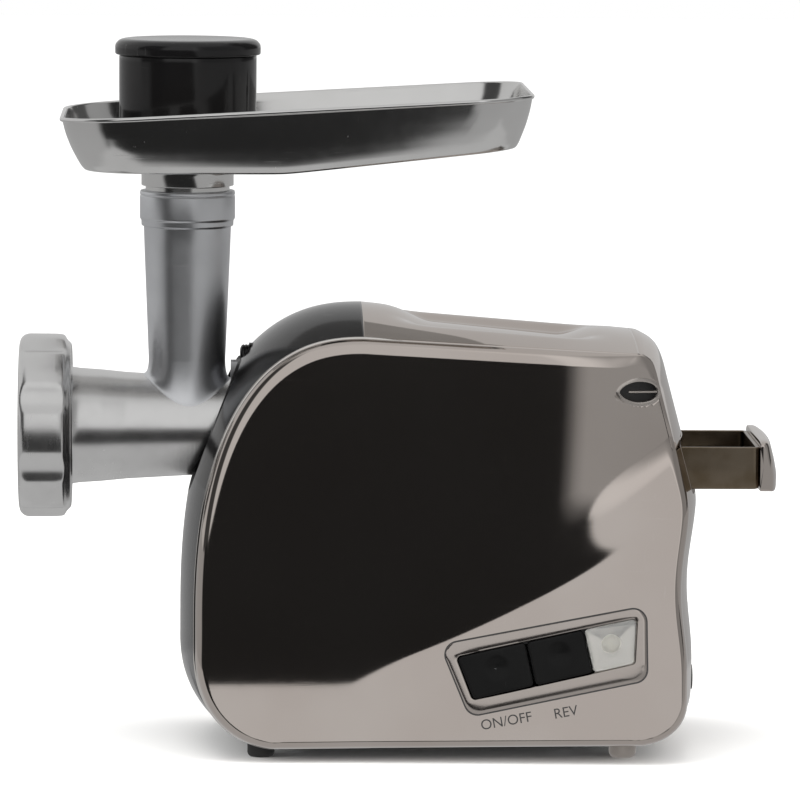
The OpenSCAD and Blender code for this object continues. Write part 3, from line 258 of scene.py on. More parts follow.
def softened(profile: list, radius: float, steps: int = 4) -> list:
    """Open profile whose inner corners are cut by short arcs, as quadratic curves from edge to edge.

    Args:
        profile: points in order.
        radius: distance from a corner at which its curve starts.
        steps: intervals in each curve.

    Returns:
        The longer list of points.
    """
    p = np.array(profile, float)
    out = [tuple(p[0])]
    for before, here, after in zip(p[:-2], p[1:-1], p[2:]):
        reach = min(radius, np.linalg.norm(before - here) * 0.45, np.linalg.norm(after - here) * 0.45)
        a = here + (before - here) / (np.linalg.norm(before - here) + 1e-9) * reach
        b = here + (after - here) / (np.linalg.norm(after - here) + 1e-9) * reach
        t = np.linspace(0, 1, steps + 1)[:, None]
        out += [tuple(q) for q in (1 - t) ** 2 * a + 2 * t * (1 - t) * here + t * t * b]
    return out + [tuple(p[-1])]


# ---------------------------------------------------------------- meshes


@dataclass
class Patch:
    """One grid of points in mm, and how its rows and columns join up."""

    grid: np.ndarray
    wrap: bool = True
    loop: bool = False
    caps: tuple = (False, False)
    keep: np.ndarray | None = None

    def faces(self, start: int) -> tuple:
        """Points and faces: a face for each kept cell, and a fan from the middle of each capped end row.

        Args:
            start: number of points that come before the patch's own.

        Returns:
            The array of points and the list of faces.
        """
        rows, cols = self.grid.shape[:2]
        i, j = np.meshgrid(np.arange(rows if self.loop else rows - 1), np.arange(cols if self.wrap else cols - 1),
                           indexing="ij")
        if self.keep is not None:
            i, j = i[self.keep], j[self.keep]
        i, j = i.ravel(), j.ravel()
        down, right = (i + 1) % rows, (j + 1) % cols
        faces = (np.stack([i * cols + j, i * cols + right, down * cols + right, down * cols + j], 1) + start).tolist()
        points, around = self.grid.reshape(-1, 3), np.arange(cols)
        for row, wanted in zip((0, rows - 1), self.caps):
            if wanted:
                hub = np.full(cols, len(points))
                points = np.concatenate([points, self.grid[row].mean(0)[None]])
                fan = np.stack([hub, row * cols + around, row * cols + (around + 1) % cols], 1)
                faces += (fan + start).tolist()
        return points, faces


def skin(name: str, *patches: Patch, sharp: float = 32.0) -> bpy.types.Object:
    """Mesh of one or more patches, merged where their points meet.

    Args:
        name: the piece's name.
        patches: the grids, in mm from the datum plane.
        sharp: angle in degrees past which an edge stays sharp.

    Returns:
        The object, at the origin.
    """
    points, faces = np.empty((0, 3)), []
    for patch in patches:
        more, cells = patch.faces(len(points))
        points = np.concatenate([points, more])
        faces += cells
    mesh = bpy.data.meshes.new(name)
    mesh.from_pydata(((points + np.array([DATUM_X, 0, 0])) * MM).tolist(), [], faces)
    tidy = bmesh.new()
    tidy.from_mesh(mesh)
    bmesh.ops.remove_doubles(tidy, verts=tidy.verts, dist=MERGE * MM)
    bmesh.ops.recalc_face_normals(tidy, faces=tidy.faces)
    tidy.to_mesh(mesh)
    tidy.free()
    mesh.shade_smooth()
    mesh.set_sharp_from_angle(angle=math.radians(sharp))
    piece = bpy.data.objects.new(name, mesh)
    bpy.context.scene.collection.objects.link(piece)
    return piece


def face_towards(piece: bpy.types.Object, direction: tuple) -> bpy.types.Object:
    """Turns an open sheet's faces so that most of them look along a direction.

    Args:
        piece: the sheet.
        direction: where its outside looks.

    Returns:
        The piece.
    """
    mesh = piece.data
    normals = np.empty(len(mesh.polygons) * 3)
    areas = np.empty(len(mesh.polygons))
    mesh.polygons.foreach_get("normal", normals)
    mesh.polygons.foreach_get("area", areas)
    if (normals.reshape(-1, 3) @ np.array(direction) * areas).sum() < 0:
        mesh.flip_normals()
    return piece


def walled(piece: bpy.types.Object, thickness: float) -> bpy.types.Object:
    """Gives an open sheet a wall on its inner side, in mm.

    Args:
        piece: the sheet.
        thickness: the wall in mm.

    Returns:
        The piece.
    """
    wall = piece.modifiers.new("wall", "SOLIDIFY")
    wall.thickness = thickness * MM
    wall.offset = -1
    wall.use_quality_normals = True
    return piece


def dress(piece: bpy.types.Object, body: str, finish: bpy.types.Material, slot: str, *nodes: str) -> bpy.types.Object:
    """Gives a piece its material and body, and hides the CAD nodes that it stands for.

    Args:
        piece: the new object.
        body: the CAD body that it rides on.
        finish: its material.
        slot: the record's material slot; not used.
        nodes: CAD nodes that it replaces.

    Returns:
        The piece.
    """
    piece.data.materials.clear()
    piece.data.materials.append(finish)
    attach(piece, body)
    if nodes:
        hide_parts(*nodes)
    LOG.info("%s rides on %s, %d faces", piece.name, body, len(piece.data.polygons))
    return piece


# ---------------------------------------------------------------- finishes


@dataclass(frozen=True)
class Finish:
    """A procedural finish: a base colour that drifts to a second one, with grain, marks and a coat.

    Colours are linear RGB. grain gives the lengths of the brushing's streaks along x, y and z, as scales of
    a noise on Object coordinates in metres, so a small number is a long streak.
    """

    name: str
    colour: tuple
    second: tuple
    metallic: float = 0.0
    roughness: float = 0.4
    spread: float = 0.05
    drift: float = 12.0
    grain: tuple = (900.0, 900.0, 900.0)
    grain_depth: float = 0.0
    wave_depth: float = 0.0
    marks: float = 0.0
    dust: float = 0.0
    coat: float = 0.0
    clear: float = 0.0
    glow: float = 0.0
    shine: float = 0.5

    def make(self) -> bpy.types.Material:
        """Builds the material.

        Returns:
            A material whose grain, marks and dust come from the shared node groups.
        """
        material = bpy.data.materials.new(self.name)
        material.use_nodes = True
        tree = material.node_tree
        tree.nodes.clear()
        out = tree.nodes.new("ShaderNodeOutputMaterial")
        shader = tree.nodes.new("ShaderNodeBsdfPrincipled")
        tree.links.new(shader.outputs["BSDF"], out.inputs["Surface"])
        shader.inputs["Metallic"].default_value = self.metallic
        shader.inputs["Transmission Weight"].default_value = self.clear
        shader.inputs["Coat Weight"].default_value = self.coat
        shader.inputs["Coat Roughness"].default_value = 0.04
        shader.inputs["IOR"].default_value = 1.49
        shader.inputs["Specular IOR Level"].default_value = self.shine
        where = tree.nodes.new("ShaderNodeTexCoord").outputs["Object"]
        surface = place_group(tree, SURFACE, where, {
            "Colour": (*self.colour, 1), "Second colour": (*self.second, 1), "Drift": self.drift,
            "Roughness": self.roughness, "Spread": self.spread, "Marks": self.marks, "Dust": self.dust})
        grain = place_group(tree, GRAIN, where, {"Streaks": self.grain})
        tree.links.new(surface.outputs["Colour"], shader.inputs["Base Color"])
        tree.links.new(surface.outputs["Roughness"], shader.inputs["Roughness"])
        height = add_heights(tree, grain.outputs["Height"], self.grain_depth, grain.outputs["Swell"], self.wave_depth,
                             surface.outputs["Marks"], -self.marks * MARK_DEPTH)
        bump = tree.nodes.new("ShaderNodeBump")
        bump.inputs["Distance"].default_value = 1.0
        tree.links.new(height, bump.inputs["Height"])
        tree.links.new(bump.outputs["Normal"], shader.inputs["Normal"])
        if self.glow:
            shader.inputs["Emission Strength"].default_value = self.glow
            tree.links.new(surface.outputs["Colour"], shader.inputs["Emission Color"])
        return material


SURFACE = "surface variation"
GRAIN = "grain and swell"
# Depth of a scratch at full strength, in metres.
MARK_DEPTH = 0.00002


def new_group(name: str, inputs: dict, outputs: dict) -> tuple:
    """Starts a shader node group.

    Args:
        name: the group's name.
        inputs: socket name to (socket type, default).
        outputs: socket name to socket type.

    Returns:
        The group, its input node and its output node.
    """
    group = bpy.data.node_groups.new(name, "ShaderNodeTree")
    for label, (kind, default) in inputs.items():
        socket = group.interface.new_socket(label, in_out="INPUT", socket_type=kind)
        if default is not None:
            socket.default_value = default
    for label, kind in outputs.items():
        group.interface.new_socket(label, in_out="OUTPUT", socket_type=kind)
    return group, group.nodes.new("NodeGroupInput"), group.nodes.new("NodeGroupOutput")


def place_group(tree: bpy.types.NodeTree, name: str, where: bpy.types.NodeSocket, values: dict) -> bpy.types.Node:
    """Puts a node group into a material, reading a coordinate, with its own values.

    Args:
        tree: the material's node tree.
        name: the group.
        where: the coordinate socket.
        values: input name to value.

    Returns:
        The group's node.
    """
    node = tree.nodes.new("ShaderNodeGroup")
    node.node_tree = bpy.data.node_groups[name]
    tree.links.new(where, node.inputs["Place"])
    for label, value in values.items():
        node.inputs[label].default_value = value
    return node


def math_node(tree: bpy.types.NodeTree, operation: str, a: object, b: object = 0.0, held: bool = False) -> object:
    """A Math node on two sockets or numbers.

    Args:
        tree: the node tree.
        operation: the node's operation.
        a: first socket or number.
        b: second socket or number.
        held: whether the result is clamped to 0 to 1.

    Returns:
        The output socket.
    """
    node = tree.nodes.new("ShaderNodeMath")
    node.operation = operation
    node.use_clamp = held
    for socket, value in zip(node.inputs, (a, b)):
        if isinstance(value, bpy.types.NodeSocket):
            tree.links.new(value, socket)
        else:
            socket.default_value = value
    return node.outputs[0]


def add_heights(tree: bpy.types.NodeTree, *pairs: object) -> object:
    """Sum of heights, each times its depth.

    Args:
        tree: the node tree.
        pairs: height, depth, height, depth and so on.

    Returns:
        The socket of the sum.
    """
    total = None
    for height, depth in zip(pairs[::2], pairs[1::2]):
        part = math_node(tree, "MULTIPLY", height, depth)
        total = part if total is None else math_node(tree, "ADD", total, part)
    return total


def noise(tree: bpy.types.NodeTree, where: object, scale: object, detail: float = 3.0) -> object:
    """A noise texture's value.

    Args:
        tree: the node tree.
        where: the coordinate socket.
        scale: scale, as a socket or a number.
        detail: the noise's detail.

    Returns:
        The socket of the noise's factor.
    """
    node = tree.nodes.new("ShaderNodeTexNoise")
    node.inputs["Detail"].default_value = detail
    tree.links.new(where, node.inputs["Vector"])
    if isinstance(scale, bpy.types.NodeSocket):
        tree.links.new(scale, node.inputs["Scale"])
    else:
        node.inputs["Scale"].default_value = scale
    return node.outputs["Fac"]


def stretched(tree: bpy.types.NodeTree, where: object, scales: object) -> object:
    """A coordinate times a scale for each axis.

    Args:
        tree: the node tree.
        where: the coordinate socket.
        scales: scale for each axis, as a socket or three numbers.

    Returns:
        The socket of the stretched coordinate.
    """
    node = tree.nodes.new("ShaderNodeVectorMath")
    node.operation = "MULTIPLY"
    tree.links.new(where, node.inputs[0])
    if isinstance(scales, bpy.types.NodeSocket):
        tree.links.new(scales, node.inputs[1])
    else:
        node.inputs[1].default_value = scales
    return node.outputs[0]


def span(tree: bpy.types.NodeTree, value: object, low: float, high: float) -> object:
    """A value's place between two levels, held to 0 to 1 and eased.

    Args:
        tree: the node tree.
        value: socket of the value.
        low: level that gives 0.
        high: level that gives 1.

    Returns:
        The socket of the place.
    """
    node = tree.nodes.new("ShaderNodeMapRange")
    node.interpolation_type = "SMOOTHSTEP"
    tree.links.new(value, node.inputs["Value"])
    node.inputs["From Min"].default_value = low
    node.inputs["From Max"].default_value = high
    return node.outputs["Result"]


def mix(tree: bpy.types.NodeTree, share: object, a: object, b: object) -> object:
    """A colour mixed from two colours by a share.

    Args:
        tree: the node tree.
        share: socket or number, 0 for the first colour.
        a: first colour.
        b: second colour.

    Returns:
        The socket of the mixed colour.
    """
    node = tree.nodes.new("ShaderNodeMix")
    node.data_type = "RGBA"
    for index, value in ((0, share), (6, a), (7, b)):
        if isinstance(value, bpy.types.NodeSocket):
            tree.links.new(value, node.inputs[index])
        else:
            node.inputs[index].default_value = value
    return node.outputs[2]


def build_groups() -> None:
    """Makes the two shared groups: colour, roughness and marks, and the heights of grain and swell."""
    group, inside, outside = new_group(SURFACE, {
        "Place": ("NodeSocketVector", None), "Colour": ("NodeSocketColor", (0.5, 0.5, 0.5, 1)),
        "Second colour": ("NodeSocketColor", (0.4, 0.4, 0.4, 1)), "Drift": ("NodeSocketFloat", 12.0),
        "Roughness": ("NodeSocketFloat", 0.4), "Spread": ("NodeSocketFloat", 0.05),
        "Marks": ("NodeSocketFloat", 0.0), "Dust": ("NodeSocketFloat", 0.0)},
        {"Colour": "NodeSocketColor", "Roughness": "NodeSocketFloat", "Marks": "NodeSocketFloat"})
    get, link = inside.outputs, group.links.new
    drift = span(group, noise(group, get["Place"], get["Drift"]), 0.32, 0.68)
    base = mix(group, drift, get["Colour"], get["Second colour"])
    lines = noise(group, stretched(group, get["Place"], (18.0, 18.0, 900.0)), 1.0, 2.0)
    across = noise(group, stretched(group, get["Place"], (700.0, 700.0, 14.0)), 1.0, 2.0)
    patchy = span(group, noise(group, get["Place"], 26.0), 0.5, 0.66)
    scratch = math_node(group, "MULTIPLY", math_node(group, "ADD", span(group, lines, 0.69, 0.73),
                                                     span(group, across, 0.69, 0.73), True), patchy)
    scratch = math_node(group, "MULTIPLY", scratch, get["Marks"])
    facing = group.nodes.new("ShaderNodeSeparateXYZ")
    link(group.nodes.new("ShaderNodeNewGeometry").outputs["Normal"], facing.inputs[0])
    lying = math_node(group, "MULTIPLY", span(group, facing.outputs["Z"], 0.3, 0.95), get["Dust"])
    specks = span(group, noise(group, get["Place"], 420.0, 5.0), 0.55, 0.75)
    dusty = math_node(group, "MULTIPLY", lying, specks)
    base = mix(group, dusty, base, (0.55, 0.52, 0.48, 1))
    base = mix(group, math_node(group, "MULTIPLY", scratch, 0.35), base, (0.85, 0.84, 0.82, 1))
    link(base, outside.inputs["Colour"])
    fine = noise(group, get["Place"], 160.0, 4.0)
    rough = math_node(group, "ADD", get["Roughness"],
                      math_node(group, "MULTIPLY", math_node(group, "SUBTRACT", fine, 0.5), get["Spread"]))
    worn = math_node(group, "MULTIPLY", math_node(group, "ADD", scratch, dusty), 0.25)
    rough = math_node(group, "ADD", rough, worn, True)
    link(rough, outside.inputs["Roughness"])
    link(scratch, outside.inputs["Marks"])

    group, inside, outside = new_group(GRAIN, {
        "Place": ("NodeSocketVector", None), "Streaks": ("NodeSocketVector", (900.0, 900.0, 900.0))},
        {"Height": "NodeSocketFloat", "Swell": "NodeSocketFloat"})
    get, link = inside.outputs, group.links.new
    link(noise(group, stretched(group, get["Place"], get["Streaks"]), 1.0, 3.0), outside.inputs["Height"])
    link(noise(group, get["Place"], 9.0, 1.0), outside.inputs["Swell"])


# Streak scales for brushing along x, round the body, and for an even moulded or cast grain.
ALONG = (26.0, 1500.0, 1500.0)
TURNED_X = (1500.0, 26.0, 26.0)
TURNED_Z = (26.0, 26.0, 1500.0)
CAST = (1100.0, 1100.0, 1100.0)
MOULDED = (2600.0, 2600.0, 2600.0)

FINISHES = {
    "chrome_shell": Finish("brushed chrome plate", (0.60, 0.545, 0.505), (0.565, 0.505, 0.465), 1.0, 0.05, 0.02,
                           grain=ALONG, grain_depth=1.2e-6, wave_depth=6e-5, marks=0.2),
    "trim_chrome": Finish("bright trim", (0.78, 0.75, 0.72), (0.70, 0.67, 0.64), 1.0, 0.07, 0.03,
                          grain=ALONG, grain_depth=1e-6, marks=0.15),
    "black_gloss": Finish("black gloss moulding", (0.0045, 0.0045, 0.005), (0.007, 0.0065, 0.0065), 0.0, 0.12, 0.05,
                          grain=MOULDED, grain_depth=8e-7, wave_depth=3e-5, marks=0.2, dust=0.02, coat=0.05,
                          shine=0.4),
    "key_gloss": Finish("black key moulding", (0.003, 0.003, 0.0032), (0.005, 0.005, 0.005), 0.0, 0.22, 0.05,
                        grain=MOULDED, grain_depth=8e-7, marks=0.1, dust=0.01, shine=0.12),
    "bezel_paint": Finish("satin bezel paint", (0.56, 0.51, 0.475), (0.52, 0.47, 0.435), 1.0, 0.12, 0.03,
                          grain=ALONG, grain_depth=1.2e-6, marks=0.1),
    "head_aluminium": Finish("polished cast aluminium", (0.80, 0.795, 0.79), (0.72, 0.715, 0.71), 1.0, 0.25, 0.07,
                             drift=30.0, grain=TURNED_X, grain_depth=1.5e-5, wave_depth=8e-5, marks=0.35),
    "tube_aluminium": Finish("turned aluminium tube", (0.82, 0.83, 0.85), (0.74, 0.75, 0.77), 1.0, 0.33, 0.07,
                             drift=30.0, grain=TURNED_Z, grain_depth=1.5e-5, wave_depth=8e-5, marks=0.35),
    "tray_steel": Finish("polished stainless sheet", (0.79, 0.785, 0.775), (0.72, 0.715, 0.705), 1.0, 0.15, 0.06,
                         drift=18.0, grain=ALONG, grain_depth=2e-6, wave_depth=1.8e-4, marks=0.8),
    "cutter_steel": Finish("ground cutter steel", (0.56, 0.555, 0.55), (0.48, 0.475, 0.47), 1.0, 0.27, 0.1,
                           grain=CAST, grain_depth=3e-6, marks=0.6),
    "auger_cast": Finish("tinned auger casting", (0.64, 0.645, 0.65), (0.55, 0.555, 0.56), 1.0, 0.38, 0.1,
                         drift=40.0, grain=CAST, grain_depth=9e-6),
    "rubber": Finish("black rubber", (0.012, 0.012, 0.012), (0.022, 0.021, 0.02), 0.0, 0.72, 0.12,
                     grain=CAST, grain_depth=9e-6, dust=0.3),
    # Painted light: a lighter satin metal copy for the rear feet, which are the same black feet as the front pair,
    # drawn as if lit.
    "foot_metal": Finish("black foot painted lighter", (0.46, 0.42, 0.39), (0.40, 0.36, 0.33), 0.9, 0.3, 0.1,
                         grain=MOULDED, grain_depth=2e-6),
    "dark_plastic": Finish("dark moulded plastic", (0.022, 0.022, 0.023), (0.032, 0.031, 0.031), 0.0, 0.5, 0.1,
                           grain=MOULDED, grain_depth=5e-6, dust=0.15),
    "fan_plastic": Finish("fan plastic", (0.05, 0.055, 0.06), (0.065, 0.068, 0.07), 0.0, 0.45, 0.1,
                          grain=MOULDED, grain_depth=4e-6, dust=0.2),
    "vent_metal": Finish("satin vent trim", (0.52, 0.48, 0.45), (0.45, 0.41, 0.38), 0.95, 0.22, 0.06,
                         grain=ALONG, grain_depth=1.5e-6),
    "drawer_metal": Finish("plated drawer", (0.24, 0.195, 0.145), (0.17, 0.13, 0.085), 1.0, 0.22, 0.08,
                           drift=60.0, grain=CAST, grain_depth=5e-6, wave_depth=6e-5, marks=0.3),
    "lens": Finish("clear lens", (0.93, 0.93, 0.91), (0.90, 0.90, 0.88), 0.0, 0.05, 0.02,
                   grain=MOULDED, grain_depth=4e-7, clear=0.85),
    "lamp": Finish("lamp dome", (0.82, 0.80, 0.72), (0.70, 0.66, 0.55), 0.0, 0.22, 0.05,
                   grain=MOULDED, grain_depth=1e-6, coat=0.6, glow=0.15),
    "hub_cast": Finish("machined hub casting", (0.42, 0.42, 0.43), (0.34, 0.34, 0.35), 1.0, 0.36, 0.1,
                       grain=CAST, grain_depth=8e-6),
    "steel": Finish("bright steel", (0.60, 0.60, 0.61), (0.52, 0.52, 0.53), 1.0, 0.25, 0.08,
                    grain=CAST, grain_depth=2e-6, marks=0.2),
    "gear_nylon": Finish("gear nylon", (0.74, 0.70, 0.60), (0.66, 0.61, 0.50), 0.0, 0.42, 0.08,
                         grain=MOULDED, grain_depth=3e-6),
    "copper": Finish("enamelled copper winding", (0.60, 0.24, 0.10), (0.42, 0.15, 0.06), 0.9, 0.34, 0.1,
                     grain=(1600.0, 1600.0, 60.0), grain_depth=3e-5),
}
MATERIALS: dict = {}


# ---------------------------------------------------------------- body


@dataclass
class BodyShape:
    """The housing's outlines in the XZ plane, and the crowned surfaces between the two sides."""

    top_z: float = 231.7
    top_fall: float = 8.2
    front_crown: float = 8.2
    top_crown: float = 13.7
    rear_crown: float = 8.5
    half_w: float = 64.0
    trim_out: float = 66.0
    waist_z: float = 95.0
    waist_half: float = 47.0
    waist_depth: float = 4.0

    def front(self, f: object, t: object, start: float = 262.0, steps: int = 60) -> tuple:
        """Front curve from the bottom to the top seam: two superellipse quarters, moved out f ahead and t above.

        Args:
            f: how far ahead the line moves.
            t: how far up its top moves.
            start: first angle of the lower quarter, in degrees.
            steps: intervals in the lower quarter.

        Returns:
            Arrays of x and z.
        """
        low = quarter((-64, 60), (49.5 + f, 54 + 0.2 * f), 2.2, start, 180, steps)
        high = quarter((-22, 75), (91.5 + f, 156.7 + t), 2.4, 180, 90, 2 * steps)
        return tuple(np.concatenate([a, b[..., 1:]], -1) for a, b in zip(low, high))

    def top(self, t: object, steps: int = 60) -> tuple:
        """Straight top edge that falls to the rear, moved up by t at the seam and half of it at the rear.

        Args:
            t: how far up the line moves at the seam.
            steps: intervals along it.

        Returns:
            Arrays of x and z.
        """
        s = np.linspace(0, 1, steps + 1)
        z = self.top_z - self.top_fall * s + t * (1 - 0.5 * s)
        return np.broadcast_to(-22 + 150 * s, z.shape), z

    def rear(self, t: object, r: object, end: float = -88.0) -> tuple:
        """Rear edge: a round corner, a lean down to mid height, a waisted upright and a round lower corner.

        Args:
            t: how far up the corner moves.
            r: how far back the line moves.
            end: last angle of the lower corner, in degrees.

        Returns:
            Arrays of x and z.
        """
        corner = quarter((128, 214.5), (9 + r, 9 + 0.5 * t), 2, 90, 12, 10)
        s = np.linspace(0, 1, 31)[1:]
        lean = 137 + 19.4 * s + r, np.broadcast_to(214.5 - 72.5 * s, (137 + s + r).shape)
        z = 142 - 109 * np.linspace(0, 1, 56)[1:]
        u = np.clip((z - self.waist_z) / self.waist_half, -1, 1)
        hollow = self.waist_depth * (1 + np.cos(np.pi * u)) / 2
        upright = 156.4 - hollow + r * (1 - (142 - z) / 109 / 4), np.broadcast_to(z, (z + r).shape)
        foot = quarter((128.4, 33), (28 + 0.75 * r, 24), 2, 0, end, 24)
        x, z = (np.concatenate([a, b, c, d[..., 1:]], -1) for a, b, c, d in zip(corner, lean, upright, foot))
        return self.eased(x), self.eased(z)

    @staticmethod
    def eased(values: np.ndarray, half: int = 3) -> np.ndarray:
        """Running mean along the last axis, with the ends held, which rounds the joints of a line.

        Args:
            values: the line's x or z.
            half: neighbours taken on each side.

        Returns:
            The eased values.
        """
        n = values.shape[-1]
        near = np.clip(np.arange(n)[:, None] + np.arange(-half, half + 1)[None], 0, n - 1)
        out = values[..., near].mean(-1)
        out[..., :half], out[..., -half:] = values[..., :half], values[..., -half:]
        return out

    def outline(self, count: int = 480) -> np.ndarray:
        """Whole outline of a side panel, spread evenly along its length.

        Args:
            count: number of points.

        Returns:
            Closed path of x and z.
        """
        pieces = self.front(0.0, 0.0), self.top(0.0), self.rear(0.0, 0.0)
        path = np.concatenate([np.stack(p, 1)[1 if i else 0:] for i, p in enumerate(pieces)])
        return evenly(path, count)

    def dish(self, x: np.ndarray, y: np.ndarray, z: np.ndarray) -> np.ndarray:
        """Depth of the finger dish in the top: 7 mm times two flat-topped bumps, along x and across y.

        Args:
            x: places along the body.
            y: places across.
            z: heights, to keep the dish to the top.

        Returns:
            The depths.
        """
        along = np.clip(1.7 * np.clip(1 - ((x - 52) / 70) ** 2, 0, 1) ** 2, 0, 1)
        across = np.clip(1.7 * np.clip(1 - (y / 50) ** 2, 0, 1) ** 2, 0, 1)
        return np.where(z > self.top_z - self.top_fall - 4, 7 * smooth(along) * smooth(across), 0)


def evenly(path: np.ndarray, count: int) -> np.ndarray:
    """Closed path resampled at equal steps of its length.

    Args:
        path: points of the path.
        count: number of points wanted.

    Returns:
        The new points.
    """
    closed = np.concatenate([path, path[:1]])
    length = np.concatenate([[0], np.cumsum(np.linalg.norm(np.diff(closed, axis=0), axis=1))])
    at = np.linspace(0, length[-1], count, endpoint=False)
    return np.stack([np.interp(at, length, closed[:, i]) for i in range(closed.shape[1])], 1)


def outward(path: np.ndarray) -> np.ndarray:
    """Unit normals of a closed path, pointing away from its inside.

    Args:
        path: closed path, one row per point.

    Returns:
        One normal for each point.
    """
    along = np.roll(path, -1, 0) - np.roll(path, 1, 0)
    normal = np.stack([along[:, 1], -along[:, 0]], 1)
    normal /= np.linalg.norm(normal, axis=1)[:, None]
    area = np.sum(path[:, 0] * np.roll(path[:, 1], -1) - path[:, 1] * np.roll(path[:, 0], -1))
    return normal if area > 0 else -normal


def inside(points: np.ndarray, path: np.ndarray) -> np.ndarray:
    """Whether points lie in a closed path, by the number of its edges that a ray to the right crosses.

    Args:
        points: array whose last axis is the two coordinates.
        path: the closed path.

    Returns:
        Mask of the points' shape.
    """
    x, z = points[..., 0:1], points[..., 1:2]
    a, b = path, np.roll(path, -1, 0)
    spans = (a[:, 1] > z) != (b[:, 1] > z)
    rise = np.where(b[:, 1] == a[:, 1], 1e-9, b[:, 1] - a[:, 1])
    return (spans & (x < a[:, 0] + (z - a[:, 1]) * (b[:, 0] - a[:, 0]) / rise)).sum(-1) % 2 == 1


@dataclass
class SidePanels:
    """The two stamped side panels with their trim beads and vents."""

    shape: BodyShape
    centre: tuple = (22.0, 112.0)
    crest: float = 76.8
    lean: float = 0.03
    flare: float = 0.094
    rear_from: float = 73.7
    rear_curve: float = 0.00131
    edge: float = 66.2
    wall: float = 1.6
    crease_width: float = 1.6
    front_softness: float = 5.0
    lean_from: float = 60.0
    lean_softness: float = 14.0
    columns: int = 470
    bead_columns: int = 640

    def crease(self, x: np.ndarray) -> np.ndarray:
        """Height of the crease above the skirt: level in front, then a parabola that rises towards the rear.

        Args:
            x: places along the body.

        Returns:
            The heights.
        """
        u = np.clip(x + 27, 0, None)
        return 50 + 0.3 * u + 0.001 * u * u

    def height(self, x: np.ndarray, z: np.ndarray) -> np.ndarray:
        """Distance of the panel's face from the middle plane, before its edge is rolled.

        The face leans in upwards, flares out in a straight line below the crease and curves in by a parabola
        towards the rear above it. Softened ramps join the parts, and the crease is softest in front.

        Args:
            x: places along the body.
            z: heights.

        Returns:
            The distances.
        """
        below = self.crease(x) - z
        width = self.crease_width + self.front_softness * (1 - smooth((x + 40) / 50))
        main = self.crest - self.lean * soft_step(z - self.lean_from, self.lean_softness)
        main = main + self.flare * soft_step(below, width)
        return main - self.rear_curve * np.clip(x - self.rear_from, 0, None) ** 2 * smooth((2 - below) / 50)

    def grid(self, side: Side) -> np.ndarray:
        """Points of one panel, on rings that grow from its centre to its outline.

        Near the outline the face rolls down by a quarter superellipse, over 8 mm at the front and top and
        5 mm at the bottom and rear. The last rings turn under the edge.

        Args:
            side: which side.

        Returns:
            Grid of points.
        """
        rim = self.shape.outline(self.columns)
        heart = np.array(self.centre)
        shares = np.concatenate([np.linspace(0, 0.86, 66), np.linspace(0.865, 0.985, 26),
                                 1 - 0.015 * (1 - np.linspace(0, 1, 8)[1:]) ** 1.5])
        flat = between(np.broadcast_to(heart, rim.shape), rim, shares)
        spoke = rim - heart
        reach = (spoke * outward(rim)).sum(1)
        gap = (1 - shares)[:, None] * reach[None]
        x, z = flat[..., 0], flat[..., 1]
        width = 5 + 3 * smooth((z - 34) / 44) * smooth((138 - x) / 26)
        u = np.clip(1 - gap / width, 0, 1)
        roll = (1 - u**2.2) ** (1 / 2.2)
        y = self.edge + (self.height(x, z) - self.edge) * roll
        tuck = rim - outward(rim) * 1.4
        lip = np.stack([tuck[:, 0], np.full(len(tuck), self.edge - 0.6), tuck[:, 1]], 1)
        face = np.stack([x, y, z], 2)
        grid = np.concatenate([face, lip[None]])
        grid[..., 1] *= side.value
        return grid

    def build(self, side: Side, holes: list) -> None:
        """Makes one panel and its bead.

        Args:
            side: which side.
            holes: closed paths of x and z that are cut out, each under a piece's flange.
        """
        word = side.name.lower()
        grid = self.grid(side)
        middle = (grid[:-1] + grid[1:] + np.roll(grid, -1, 1)[:-1] + np.roll(grid, -1, 1)[1:]) / 4
        keep = ~np.any([inside(middle[..., ::2], hole) for hole in holes], axis=0)
        panel = skin(f"{word}_panel", Patch(grid, keep=keep), sharp=60)
        walled(face_towards(panel, (0, side.value, 0)), self.wall)
        dress(panel, "root", MATERIALS["chrome_shell"], "chrome_shell", f"{word}_side_panel")
        self.bead(side, word)

    def bead(self, side: Side, word: str) -> None:
        """Trim bead: a closed section with two small ridges, carried round the outline along its normals.

        Args:
            side: which side.
            word: the side's name in lower case.
        """
        rim = self.shape.outline(self.bead_columns)
        across = np.linspace(0, 1, 17)
        ridge = 0.15 + 0.75 * np.abs(np.sin(2 * np.pi * across)) ** 0.7
        section = np.concatenate([np.stack([ridge, across], 1), [[-2.2, 1.0], [-2.2, 0.0]]])
        full = smooth((10 - rim[:, 0]) / 30)
        out = section[:, :1] * full + np.minimum(section[:, :1], -0.3) * (1 - full)
        points = rim[None] + out[..., None] * outward(rim)[None]
        y = side.value * (self.shape.half_w + (self.shape.trim_out - self.shape.half_w) * section[:, 1])
        grid = np.stack([points[..., 0], np.broadcast_to(y[:, None], points.shape[:2]), points[..., 1]], 2)
        bead = skin(f"{word}_bead", Patch(grid, loop=True), sharp=70)
        dress(bead, "root", MATERIALS["trim_chrome"], "trim_chrome", f"{word}_trim")


